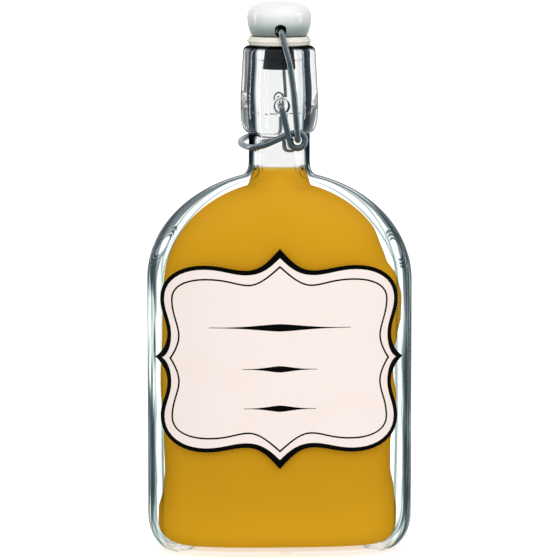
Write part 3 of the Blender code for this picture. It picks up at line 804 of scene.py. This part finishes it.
def press_dimples(mesh):
    """Push in a flat round recess on both sides of the collar, and mark its rim for painted shade.
    """
    floor_y = COLLAR_RADIUS - DIMPLE_DEPTH
    rims = mesh.attributes.new("dimple_rim_shade", "FLOAT", "POINT")
    for vertex in mesh.vertices:
        x, y, z = vertex.co
        away = math.hypot(x - DIMPLE_X, z - PIVOT_Z)
        if away < DIMPLE_RADIUS and abs(y) > floor_y:
            share = smooth_step((DIMPLE_RADIUS - away) / DIMPLE_WALL)
            depth = abs(y) + (floor_y - abs(y)) * share
            vertex.co.y = math.copysign(depth, y)
            rims.data[vertex.index].value = 4 * share * (1 - share)


def make_glass():
    """The flask, with its inner skin marked for the material."""
    outside = [section_ring(*section) for section in outer_sections()]
    inside = [uneven(section_ring(*section)) for section in cavity_sections(0.0)]
    inside += [section_ring(*section) for section in round_sections(bore_profile())]
    rings = outside + list(reversed(inside))
    glass = loft("flask_glass", rings, glass_material, sharp=50)
    press_dimples(glass.data)
    marks = glass.data.attributes.new("inside", "FLOAT", "POINT")
    first_inner = len(outside) * RING_POINTS
    marks.data.foreach_set("value", [1.0 if index >= first_inner else 0.0
                                     for index in range(len(glass.data.vertices))])
    place(glass, "bottle", "clear_glass", "glass_bottle")


make_glass()

# %% [markdown]
# ## The syrup
#
# The syrup fills the flask to the foot of its neck. It is drawn as a body that reaches a
# fraction of a millimetre into the wall, because a gap of air between syrup and glass would
# show as a silvery skin. Dark amber syrup in a thick flask lets almost no light right through,
# so its front reads as one even colour, which slow clouds vary a little. It has no gloss of its
# own, as the gloss that is seen is that of the glass. The level on top is painted a paler amber,
# as painted light for the light that falls straight on it through the neck.

# %% Syrup
FILL_Z = 156.0 * MM
INTO_WALL = 0.15 * MM
MENISCUS_WIDTH = 0.9 * MM
MENISCUS_RISE = 0.15 * MM


def make_syrup_material(name, dark, light):
    """Amber maple syrup, thick and almost opaque, with faint clouds."""
    material, tree = start_material(name)
    clouds = noise(tree, object_position(tree), 18.0)
    paint(tree, {"Base Color": ramp(tree, clouds, [(0.3, dark), (0.7, light)]),
                 "Specular IOR Level": 0.0})
    return material


def make_syrup():
    """The body of syrup up to its level, with a faintly raised rim where it wets the glass."""
    sections = [section for section in cavity_sections(-INTO_WALL) if section[3] < FILL_Z]
    radius = sections[-1][0]
    sections += round_sections([(radius, FILL_Z), (radius - MENISCUS_WIDTH,
                                                   FILL_Z - MENISCUS_RISE)])
    rings = [uneven(section_ring(*section)) for section in sections]
    body = make_syrup_material("amber_maple_syrup", "#D99F1A", "#DCA11D")
    # The level's paler amber is painted light, for the light that falls on it through the neck.
    level = make_syrup_material("amber_maple_syrup_level_painted_light", "#FBC534", "#FFC93A")
    syrup = loft("syrup_fill", rings, body)
    syrup.data.materials.append(level)
    for face in syrup.data.polygons:
        if face.center.z > FILL_Z - 0.2 * MM and face.normal.z > 0.7:
            face.material_index = 1
    place(syrup, "bottle", "amber_syrup", "syrup")


make_syrup()

# %% [markdown]
# ## The label
#
# The label is a die-cut sheet of soft uncoated paper with a bracket outline. Its print is a
# heavy black edge, a thin black line inside it, and three swelled rules in its middle. All of it
# is one skin with shared edges: each outline is a row of the same number of points, so the
# strip between two outlines is a band of quads that can carry its own ink. A drawn texture
# would blur at the edges of the ink, while these edges stay sharp at any size.

# %% Label outlines
LABEL_X = -0.9 * MM
LABEL_Z = 81.8 * MM
LABEL_GAP = 0.06 * MM
LABEL_THICKNESS = 0.16 * MM
OUTLINE_STEPS = 10

# Each outline is a quarter, from its top point to its side point: ends and handles, in mm.
EDGE = [(0, 44.7), (3.5, 41.0), (7.0, 35.9), (13.5, 35.9),
        (19.0, 35.9), (23.5, 37.9), (30.2, 37.9), (40.5, 37.9), (47.9, 32.5), (47.9, 24.0),
        (47.9, 18.5), (45.1, 15.0), (45.1, 9.7), (45.1, 5.2), (47.6, 1.8), (50.0, 0.0)]
EDGE_INNER = [(0, 40.9), (3.2, 37.8), (6.8, 34.0), (13.5, 34.0),
              (19.0, 34.0), (23.5, 36.2), (30.2, 36.2), (39.5, 36.2), (46.3, 31.6), (46.3, 24.0),
              (46.3, 18.8), (43.55, 15.1), (43.55, 9.7), (43.55, 4.8), (45.0, 1.2), (47.2, 0.0)]
LINE = [(0, 37.9), (3.5, 34.8), (8.0, 30.3), (12.5, 30.3),
        (17.5, 30.3), (20.5, 32.6), (29.4, 32.6), (36.8, 32.6), (43.6, 30.1), (43.6, 23.9),
        (43.6, 17.6), (40.85, 13.6), (40.85, 9.2), (40.85, 6.0), (42.7, 2.4), (44.4, 0.0)]
LINE_INNER = [(0, 36.9), (3.4, 33.9), (8.0, 29.6), (12.5, 29.6),
              (17.5, 29.6), (20.5, 31.9), (29.4, 31.9), (36.4, 31.9), (42.9, 29.7), (42.9, 23.9),
              (42.9, 17.6), (40.15, 13.6), (40.15, 9.2), (40.15, 6.0), (42.0, 2.3), (43.5, 0.0)]


def whole_outline(quarter):
    """A closed outline from its upper right quarter, in metres about the label's middle."""
    points = [quarter[0]]
    for start in range(0, len(quarter) - 1, 3):
        points += bezier(quarter[start:start + 4], OUTLINE_STEPS)
    right = points + [(x, -z) for x, z in reversed(points[:-1])]
    left = [(-x, z) for x, z in reversed(right[1:-1])]
    return [(x * MM, z * MM) for x, z in right + left]


def front_y(x, offset):
    """Where the flask's front lies at some x, moved out by an offset."""
    share = min(1.0, abs(x) / (BODY_HALF_WIDTH + offset)) ** BODY_SQUARENESS
    return -(BODY_HALF_DEPTH + offset) * (1 - share) ** (1 / BODY_SQUARENESS)


print("label:", 2 * EDGE[-1][0], "mm wide and", 2 * EDGE[0][1], "mm high")

# %% [markdown]
# ## Paper and ink
#
# Uncoated paper is matt, and its fibres make a faint relief. Letterpress ink lies on it as a
# black film with next to no gloss. Both are grainy at a scale that only shows close up.

# %% Paper and ink
def make_paper_material():
    """Uncoated pale pink paper: matt, with a soft fibre grain about 0.4 mm across."""
    material, tree = start_material("uncoated_pink_paper")
    position = object_position(tree)
    fibres = noise(tree, position, 2500.0, 3.0)
    mixed = number(tree, "ADD", fibres, noise(tree, position, 60.0))
    paint(tree, {
        "Base Color": ramp(tree, mixed, [(0.7, "#F7E8E1"), (1.0, "#F9EBE5")]),
        "Roughness": 0.85, "Specular IOR Level": 0.2, "Normal": bump(tree, fibres, 0.15)})
    return material


def make_ink_material():
    """Black letterpress ink: a satin film that lets a trace of the paper's grain through."""
    material, tree = start_material("black_letterpress_ink")
    grain = noise(tree, object_position(tree), 1800.0)
    paint(tree, {"Base Color": ramp(tree, grain, [(0.3, "#010101"), (0.8, "#090908")]),
                 "Roughness": 0.6, "Specular IOR Level": 0.08})
    return material


print_finishes = [make_paper_material(), make_ink_material()]
print("print finishes:", [finish.name for finish in print_finishes])

# %% [markdown]
# ## The sheet
#
# The sheet has a back and a front skin a sixth of a millimetre apart. Every outline is one
# closed row of points, and further rows shrink towards the middle, so that the paper can bend
# round the front of the flask. The quads between two rows carry paper or ink. The cut edge is
# black, as the heavy outline is printed right up to it.

# %% Label piece
SHRINK_STEPS = (0.85, 0.7, 0.55, 0.4, 0.25, 0.1)
PAPER, INK = 0, 1


def make_label():
    """The printed sheet, bent round the front of the flask."""
    bands = [(whole_outline(EDGE), INK), (whole_outline(EDGE_INNER), PAPER),
             (whole_outline(LINE), INK), (whole_outline(LINE_INNER), PAPER)]
    inner = bands[-1][0]
    bands += [([(x * share, z * share) for x, z in inner], PAPER) for share in SHRINK_STEPS]
    points, faces, inks = [], [], []
    for offset in (LABEL_GAP, LABEL_GAP + LABEL_THICKNESS):
        for outline, ink in bands:
            points += [(LABEL_X + x, front_y(LABEL_X + x, offset), LABEL_Z + z)
                       for x, z in outline]
    count = len(inner)
    skin = len(bands) * count
    for base in (0, skin):
        for row, (outline, ink) in enumerate(bands[:-1]):
            faces += ring_faces(base + row * count, base + (row + 1) * count, count)
            inks += [ink if base else PAPER] * count
        faces.append(tuple(range(base + skin - count, base + skin)))
        inks.append(PAPER)
    faces += ring_faces(0, skin, count)
    inks += [INK] * count
    label = new_piece("paper_label", points, faces, print_finishes, sharp=40)
    label.data.polygons.foreach_set("material_index", inks)
    label.data.update()
    place(label, "bottle", "label_paper", "label")


make_label()

# %% [markdown]
# ## Three swelled rules
#
# A swelled rule is an old printer's ornament: a line that is fine at its ends and thick in its
# middle. Three of them, one long and two short, fill the middle of the label. Each is a thin
# film of ink on the paper.

# %% Rules on the label
RULES = ((28.5, 12.8, 1.5), (15.0, -4.0, 1.3), (14.5, -20.0, 1.3))
RULE_STEPS = 48
INK_FILM = 0.02 * MM
RULE_END = 0.12


def make_rules():
    """The three rules, as films of ink that follow the curve of the paper."""
    work = bmesh.new()
    for half_length, z, half_height in RULES:
        rows = []
        for step in range(RULE_STEPS + 1):
            u = 2 * step / RULE_STEPS - 1
            x = LABEL_X + u * half_length * MM
            swell = RULE_END + (half_height - RULE_END) * (1 - abs(u) ** 1.5) ** 3
            row = []
            for offset in (LABEL_THICKNESS, LABEL_THICKNESS + INK_FILM):
                y = front_y(x, LABEL_GAP + offset)
                row += [work.verts.new((x, y, LABEL_Z + (z + side * swell) * MM))
                        for side in (-1, 1)]
            rows.append(row)
        for low, high in zip(rows, rows[1:]):
            for a, b in ((0, 1), (1, 3), (3, 2), (2, 0)):
                work.faces.new((low[a], low[b], high[b], high[a]))
        work.faces.new([rows[0][i] for i in (0, 2, 3, 1)])
        work.faces.new([rows[-1][i] for i in (0, 1, 3, 2)])
    bmesh.ops.recalc_face_normals(work, faces=work.faces)
    mesh = bpy.data.meshes.new("label_rules")
    work.to_mesh(mesh)
    work.free()
    mesh.materials.append(print_finishes[INK])
    place(add_item("label_rules", mesh), "bottle", "label_paper")


make_rules()

# %% [markdown]
# ## Porcelain
#
# The stopper is slip-cast porcelain under a clear glaze. Painted shade darkens it from white at
# the top to green-grey and grey towards the foot. The bore of the cross hole is bare of glaze and
# painted almost black, as painted shade inside the hole.

# %% Porcelain finish
CAP_RADIUS = 13.0 * MM
CAP_TOP_Z = 224.3 * MM
CAP_RIM_Z = 218.2 * MM
CAP_BOTTOM_Z = 210.3 * MM
GLAZE_PAINTED_SHADE = [(0.0, "#6A6C6E"), (0.16, "#7D8482"), (0.42, "#98ABA2"), (0.70, "#D2D8D5"),
         (1.0, "#F2F3F2")]


def make_porcelain_material():
    """Glazed porcelain: white and glossy, with painted shade in green-grey and grey towards the
    foot.
    """
    material, tree = start_material("glazed_porcelain")
    position = object_position(tree)
    clouds = noise(tree, position, 160.0)
    wavy = number(tree, "MULTIPLY_ADD", clouds, 1.6 * MM, axes(tree, position)["Z"])
    painted_shade_height = between(tree, wavy, CAP_BOTTOM_Z, CAP_RIM_Z + 1.5 * MM)
    paint(tree, {
        "Base Color": ramp(tree, painted_shade_height, GLAZE_PAINTED_SHADE), "Roughness": 0.14, "Specular IOR Level": 0.5,
        "Normal": bump(tree, clouds, 0.08, 0.2 * MM)})
    return material


def make_bore_shade_material():
    """Unglazed porcelain painted almost black, as painted shade inside the hole."""
    material, tree = start_material("bore_painted_shade_black")
    marks = noise(tree, object_position(tree), 3000.0)
    paint(tree, {"Base Color": ramp(tree, marks, [(0.3, "#060707"), (0.7, "#141615")]),
                 "Roughness": 0.8, "Specular IOR Level": 0.1})
    return material


porcelain = make_porcelain_material()
# The ramp's darker foot is painted shade.
print("glaze from", GLAZE_PAINTED_SHADE[0][1], "at the foot to", GLAZE_PAINTED_SHADE[-1][1], "at the top")

# %% [markdown]
# ## The stopper
#
# The stopper is a low dome over a side that tapers towards its foot. Its form is turned, so it
# is a stack of circles from a profile. The cross hole for the wire is cut with a rod that
# flares at both ends, which leaves the softly rounded rim that glaze gives to a hole, and that
# narrows round the wire in the middle.

# %% Stopper piece
STOPPER_PIN_Z = 212.4 * MM
CAP_HOLE_RADIUS = 2.25 * MM
# Distance from the stopper's axis and radius of the hole, from its mouth inwards, in mm.
MOUTH = ((14.0, 3.15), (12.6, 3.15))
THROAT = ((8.0, 2.25), (6.0, 1.5))
HOLE_EDGE = 0.5 * MM
TURNED_POINTS = 128


def turned(name, profile, material, loop=False, sharp=35):
    """A turned piece from its radii and heights."""
    rings = [section_ring(*section, points=TURNED_POINTS) for section in round_sections(profile)]
    return loft(name, rings, material, loop, sharp)


def flatten(item):
    """Turn a piece's modifiers into plain mesh."""
    bpy.context.view_layer.update()
    evaluated = item.evaluated_get(bpy.context.evaluated_depsgraph_get())
    mesh = bpy.data.meshes.new_from_object(evaluated)
    item.modifiers.clear()
    item.data = mesh
    mesh.name = item.name


def make_hole_rod():
    """The form of the cross hole, along Y."""
    flare = [(radius * MM, -away * MM) for away, radius in MOUTH]
    flare += quarter_arc((CAP_HOLE_RADIUS + HOLE_EDGE, -11.8 * MM), (-HOLE_EDGE, -HOLE_EDGE),
                         90, 0, 6)
    flare += [(radius * MM, -away * MM) for away, radius in THROAT]
    flare += [(radius, -z) for radius, z in reversed(flare)]
    rod = turned("hole_rod", flare, porcelain)
    for vertex in rod.data.vertices:
        x, y, z = vertex.co
        vertex.co = (x, z, STOPPER_PIN_Z + y)
    outward(rod.data)
    return rod


def make_stopper():
    """The porcelain stopper with its cross hole."""
    profile = [(10.0 * MM, CAP_BOTTOM_Z)]
    profile += quarter_arc((10.9 * MM, CAP_BOTTOM_Z + 0.7 * MM), (0.7 * MM, 0.7 * MM), -90, 0, 5)
    profile += bezier([profile[-1], (CAP_RADIUS, CAP_BOTTOM_Z + 4.0 * MM),
                       (CAP_RADIUS, CAP_RIM_Z)], 16)
    profile += bezier([profile[-1], (CAP_RADIUS, CAP_RIM_Z + 2.2 * MM),
                       (10.8 * MM, CAP_RIM_Z + 4.0 * MM)], 12)
    profile += bezier([profile[-1], (7.0 * MM, CAP_TOP_Z - 0.1 * MM), (1.0 * MM, CAP_TOP_Z)], 14)
    stopper = turned("porcelain_stopper", profile, porcelain)
    rod = make_hole_rod()
    cut = stopper.modifiers.new("cross_hole", "BOOLEAN")
    cut.operation = "DIFFERENCE"
    cut.solver = "EXACT"
    cut.object = rod
    flatten(stopper)
    bpy.data.objects.remove(rod)
    stopper.data.set_sharp_from_angle(angle=math.radians(50))
    # The hole's inner faces take the almost black of painted shade.
    lining = len(stopper.data.materials)
    stopper.data.materials.append(make_bore_shade_material())
    for face in stopper.data.polygons:
        across = Vector((face.center.x, 0.0, face.center.z - STOPPER_PIN_Z))
        towards_axis = -face.normal.dot(across.normalized())
        if across.length < CAP_HOLE_RADIUS + 0.53 * MM and towards_axis > 0.1:
            face.material_index = lining
    place(stopper, "stopper", "white_porcelain", "stopper_cap")


make_stopper()

# %% [markdown]
# ## Gasket and plug
#
# A ring of pale natural rubber seals the lip, and a black rubber plug hangs below it in the
# bore. Both are moulded and matt. The ring has a slanted upper edge and a fine parting line at
# its widest place, where the two halves of its mould met.

# %% Rubber
GASKET_HOLE_RADIUS = 4.9 * MM
GASKET_BOTTOM_Z = 206.5 * MM
GASKET_TOP_Z = 210.0 * MM
PLUG_TOP_Z = 204.6 * MM
PLUG_BOTTOM_Z = 196.7 * MM
PLUG_TOP_RADIUS = 6.0 * MM
PLUG_BOTTOM_RADIUS = 6.7 * MM
PLUG_STEM_RADIUS = 4.5 * MM
PLUG_FOOT_RADIUS = 5.5 * MM


def make_rubber_material(name, dark, light, gloss):
    """Moulded rubber: matt, with a fine dusty mottle about 0.5 mm across."""
    material, tree = start_material(name)
    mottle = noise(tree, object_position(tree), 2000.0, 3.0)
    paint(tree, {
        "Base Color": ramp(tree, mottle, [(0.35, dark), (0.7, light)]), "Roughness": 0.65,
        "Specular IOR Level": gloss, "Normal": bump(tree, mottle, 0.15)})
    return material


def make_gasket():
    """The sealing ring."""
    profile = [(GASKET_HOLE_RADIUS, GASKET_BOTTOM_Z), (11.8 * MM, GASKET_BOTTOM_Z)]
    profile += bezier([profile[-1], (12.5 * MM, GASKET_BOTTOM_Z), (12.5 * MM, 207.2 * MM)], 6)
    profile += bezier([profile[-1], (12.45 * MM, 207.9 * MM), (12.95 * MM, 207.95 * MM)], 4)
    profile += bezier([profile[-1], (13.15 * MM, 208.15 * MM), (12.95 * MM, 208.4 * MM)], 4)
    profile += bezier([profile[-1], (12.3 * MM, 209.1 * MM), (12.1 * MM, 209.8 * MM)], 6)
    profile += bezier([profile[-1], (12.0 * MM, GASKET_TOP_Z), (11.7 * MM, GASKET_TOP_Z)], 3)
    profile += [(GASKET_HOLE_RADIUS, GASKET_TOP_Z)]
    material = make_rubber_material("moulded_natural_rubber", "#EFE9DC", "#F9F4E9", 0.3)
    gasket = turned("rubber_gasket", profile, material, loop=True)
    place(gasket, "stopper", "pale_rubber", "gasket")


def make_plug():
    """The black plug and its stem."""
    profile = [(PLUG_FOOT_RADIUS, PLUG_BOTTOM_Z)]
    profile += quarter_arc((PLUG_BOTTOM_RADIUS - 0.5 * MM, PLUG_BOTTOM_Z + 0.5 * MM),
                           (0.5 * MM, 0.5 * MM), -90, 0, 5)
    profile += bezier([profile[-1], (PLUG_TOP_RADIUS + 0.3 * MM, 200.0 * MM),
                       (PLUG_TOP_RADIUS, 202.4 * MM)], 8)
    profile += straight(profile[-1], (PLUG_TOP_RADIUS, PLUG_TOP_Z), 3)
    profile += [(PLUG_STEM_RADIUS, PLUG_TOP_Z + 0.4 * MM), (PLUG_STEM_RADIUS, GASKET_TOP_Z)]
    material = make_rubber_material("moulded_black_rubber", "#030303", "#0A0A0A", 0.1)
    plug = turned("rubber_plug", profile, material)
    place(plug, "stopper", "dark_rubber", "stopper_plug")


make_gasket()
make_plug()

# %% [markdown]
# ## The wires
#
# Both wires are hard-drawn steel, bent cold. A wire is the same round section all along a path,
# which is what Geometry Nodes do well: the path goes in as a curve, and a small tree sweeps a
# circle along it. The tree has named inputs for the radius and for the number of sides. It also
# stores how far along and how far round each point lies, because the drawing die leaves fine
# lines that run along the wire, round its bends too.

# %% Wire finish
def make_wire_material():
    """Drawn steel wire: slate grey with soft lines left by the drawing die."""
    material, tree = start_material("hard_drawn_steel")
    along = number(tree, "MULTIPLY", attribute(tree, "along"), 120.0)
    around = number(tree, "MULTIPLY", attribute(tree, "around"), 26.0)
    spot = add_node(tree, "ShaderNodeCombineXYZ", {0: along, 1: around})
    lines = noise(tree, spot, 1.0, 3.0)
    paint(tree, {
        "Base Color": ramp(tree, lines, [(0.3, "#616E74"), (0.7, "#9EA9AC")]), "Metallic": 1.0,
        "Roughness": between(tree, lines, 0.0, 1.0, 0.16, 0.34),
        "Normal": bump(tree, lines, 0.15)})
    return material


def make_wire_tree(material):
    """Geometry Nodes that sweep a circle along a path."""
    tree = bpy.data.node_groups.new("round_wire", "GeometryNodeTree")
    face = tree.interface
    face.new_socket("Path", in_out="INPUT", socket_type="NodeSocketGeometry")
    face.new_socket("Wire radius", in_out="INPUT", socket_type="NodeSocketFloat")
    face.new_socket("Sides", in_out="INPUT", socket_type="NodeSocketInt")
    face.new_socket("Wire", in_out="OUTPUT", socket_type="NodeSocketGeometry")
    given = add_node(tree, "NodeGroupInput")
    on_path = add_node(tree, "GeometryNodeSplineParameter")
    path = add_node(tree, "GeometryNodeStoreNamedAttribute", {
        "Geometry": given.outputs["Path"], "Name": "along", "Value": on_path.outputs["Length"]},
        data_type="FLOAT", domain="POINT")
    circle = add_node(tree, "GeometryNodeCurvePrimitiveCircle", {
        "Resolution": given.outputs["Sides"], "Radius": given.outputs["Wire radius"]})
    on_circle = add_node(tree, "GeometryNodeSplineParameter")
    profile = add_node(tree, "GeometryNodeStoreNamedAttribute", {
        "Geometry": circle.outputs["Curve"], "Name": "around",
        "Value": on_circle.outputs["Factor"]}, data_type="FLOAT", domain="POINT")
    sweep = add_node(tree, "GeometryNodeCurveToMesh", {
        "Curve": path.outputs[0], "Profile Curve": profile.outputs[0], "Fill Caps": True})
    smooth = add_node(tree, "GeometryNodeSetShadeSmooth", {0: sweep.outputs[0]})
    realized = add_node(tree, "GeometryNodeRealizeInstances", {0: smooth.outputs[0]})
    coated = add_node(tree, "GeometryNodeSetMaterial", {
        0: realized.outputs[0], "Material": material})
    add_node(tree, "NodeGroupOutput", {0: coated.outputs[0]})
    return tree


wire_tree = make_wire_tree(make_wire_material())
print("wire tree:", len(wire_tree.nodes), "nodes")

# %% [markdown]
# ## Wire paths
#
# Every bend is an arc with its own radius, as it comes off a bending pin. The lever starts in
# the front dimple, coils once into an eye, sweeps round the left of the neck as the handle, and
# goes back up behind as its own mirror image. The bail hooks through the two eyes and crosses
# the stopper.

# %% Wire paths
PIVOT = Vector((0.0, 0.0, PIVOT_Z))
EYE = Vector((6.6, 0.0, 169.4)) * MM
LEVER_ARM_Y = 17.7 * MM
HANDLE_ARM_Y = 14.9 * MM
BAIL_LEG_Y = 20.5 * MM
PIVOT_END_Y = 14.5 * MM
HOOK_END_Y = 13.7 * MM
EYE_LOOP_RADIUS = 3.1 * MM
EYE_LOOP_DROP = 0.3 * MM
EYE_LOOP_EXIT = math.radians(470)
HANDLE_REACH = 15.7 * MM
HANDLE_SKEW = 1.9 * MM
HANDLE_SKEW_REACH = 10.0 * MM


def rounded_route(corners, bends, steps=12):
    """A path through corners, each rounded to its own bend radius."""
    route = [corners[0]]
    for before, corner, after, radius in zip(corners, corners[1:], corners[2:], bends):
        entry = (corner - before).normalized()
        leave = (after - corner).normalized()
        turn = entry.angle(leave)
        reach = radius * math.tan(turn / 2)
        inward = (leave - entry * entry.dot(leave)).normalized()
        centre = corner - entry * reach + inward * radius
        for step in range(steps + 1):
            angle = turn * step / steps
            route.append(centre - inward * radius * math.cos(angle)
                         + entry * radius * math.sin(angle))
    return route + [corners[-1]]


def smooth_route(points, steps):
    """A smooth path through points, given with one guide point before and one after."""
    route = []
    for a, b, c, d in zip(points, points[1:], points[2:], points[3:]):
        for step in range(steps):
            t = step / steps
            route.append(0.5 * (2 * b + (c - a) * t + (2 * a - 5 * b + 4 * c - d) * t * t
                                + (3 * b - a - 3 * c + d) * t ** 3))
    return route + [points[-2]]


def mirrored(points):
    """The same points on the far side of the flask, in the other order."""
    return [Vector((p.x, -p.y, p.z)) for p in reversed(points)]


def lever_route():
    """From the front dimple down to the eye, round the neck's left side, and back up behind."""
    centre = EYE - Vector((0, 0, EYE_LOOP_DROP))
    span = centre - PIVOT
    lean = math.asin(EYE_LOOP_RADIUS / span.length)
    entry = math.atan2(span.z, span.x) - lean - math.pi / 2 + 2 * math.pi
    steps = 40
    loop = []
    for step in range(steps + 1):
        angle = entry + (EYE_LOOP_EXIT - entry) * step / steps
        y = -LEVER_ARM_Y + (LEVER_ARM_Y - HANDLE_ARM_Y) * smooth_step(step / steps)
        loop.append(centre + Vector((EYE_LOOP_RADIUS * math.cos(angle), y,
                                     EYE_LOOP_RADIUS * math.sin(angle))))
    pin = [PIVOT + Vector((0, -PIVOT_END_Y, 0)), PIVOT + Vector((0, -LEVER_ARM_Y, 0))]
    front = rounded_route([*pin, loop[0]], [1.9 * MM])[:-1] + loop
    back = mirrored(front)
    bow = [Vector(point) * MM for point in (
        (0.2, -14.9, 170.0), (-6.6, -14.6, 168.4), (-11.8, -11.0, 167.3), (-14.9, -5.2, 167.0))]
    bow += [Vector((-HANDLE_REACH, 0, 167.0 * MM))] + mirrored(bow)
    for point in bow:
        share = smooth_step(-point.x / HANDLE_SKEW_REACH)
        point.z += HANDLE_SKEW * share * point.y / HANDLE_ARM_Y
    keys = [front[-3], front[-1], *bow, back[0], back[2]]
    return front[:-1] + smooth_route(keys, 14) + back[1:]


def bail_route():
    """Hook, leg, the pin through the stopper, leg and hook."""
    front = [Vector((EYE.x, -HOOK_END_Y, EYE.z)), Vector((EYE.x, -BAIL_LEG_Y, EYE.z)),
             Vector((5.0 * MM, -BAIL_LEG_Y, 188.0 * MM)), Vector((3.4, -18.1, 200.0)) * MM,
             Vector((0.2 * MM, -14.1 * MM, STOPPER_PIN_Z))]
    bends = [2.0 * MM, 15.0 * MM, 15.0 * MM, 2.0 * MM]
    return rounded_route(front + mirrored(front), bends + bends[::-1])


print("lever path:", len(lever_route()), "points, bail path:", len(bail_route()), "points")

# %% [markdown]
# ## The two wires
#
# Each path becomes a curve, the tree sweeps it, and the result is kept as plain mesh. The ends
# are drawn in a little, as a cut end is filed before it goes into the glass.

# %% Wire pieces
WIRE_RADIUS = 1.25 * MM
WIRE_SIDES = 24
FILED_LENGTH = 0.3 * MM
FILED_RADIUS = 0.75


def make_wire(name, route, body, node):
    """A wire along a route, with its ends slightly rounded."""
    curve = bpy.data.curves.new(name, "CURVE")
    curve.dimensions = "3D"
    ends = [end + (towards - end).normalized() * FILED_LENGTH
            for end, towards in ((route[0], route[1]), (route[-1], route[-2]))]
    points = [route[0], ends[0], *route[1:-1], ends[1], route[-1]]
    spline = curve.splines.new("POLY")
    spline.points.add(len(points) - 1)
    for spot, point in zip(points, spline.points):
        point.co = (*spot, 1.0)
    spline.points[0].radius = spline.points[-1].radius = FILED_RADIUS
    item = add_item(name, curve)
    modifier = item.modifiers.new("sweep", "NODES")
    modifier.node_group = wire_tree
    sockets = {socket.name: socket.identifier for socket in wire_tree.interface.items_tree}
    modifier[sockets["Wire radius"]] = WIRE_RADIUS
    modifier[sockets["Sides"]] = WIRE_SIDES
    bpy.context.view_layer.update()
    evaluated = item.evaluated_get(bpy.context.evaluated_depsgraph_get())
    mesh = bpy.data.meshes.new_from_object(evaluated)
    bpy.data.objects.remove(item)
    mesh.set_sharp_from_angle(angle=math.radians(40))
    place(add_item(name, mesh), body, "steel_wire", node)


make_wire("closing_lever", lever_route(), "lever", "lever_wire")
make_wire("stopper_bail", bail_route(), "bail", "bail_wire")
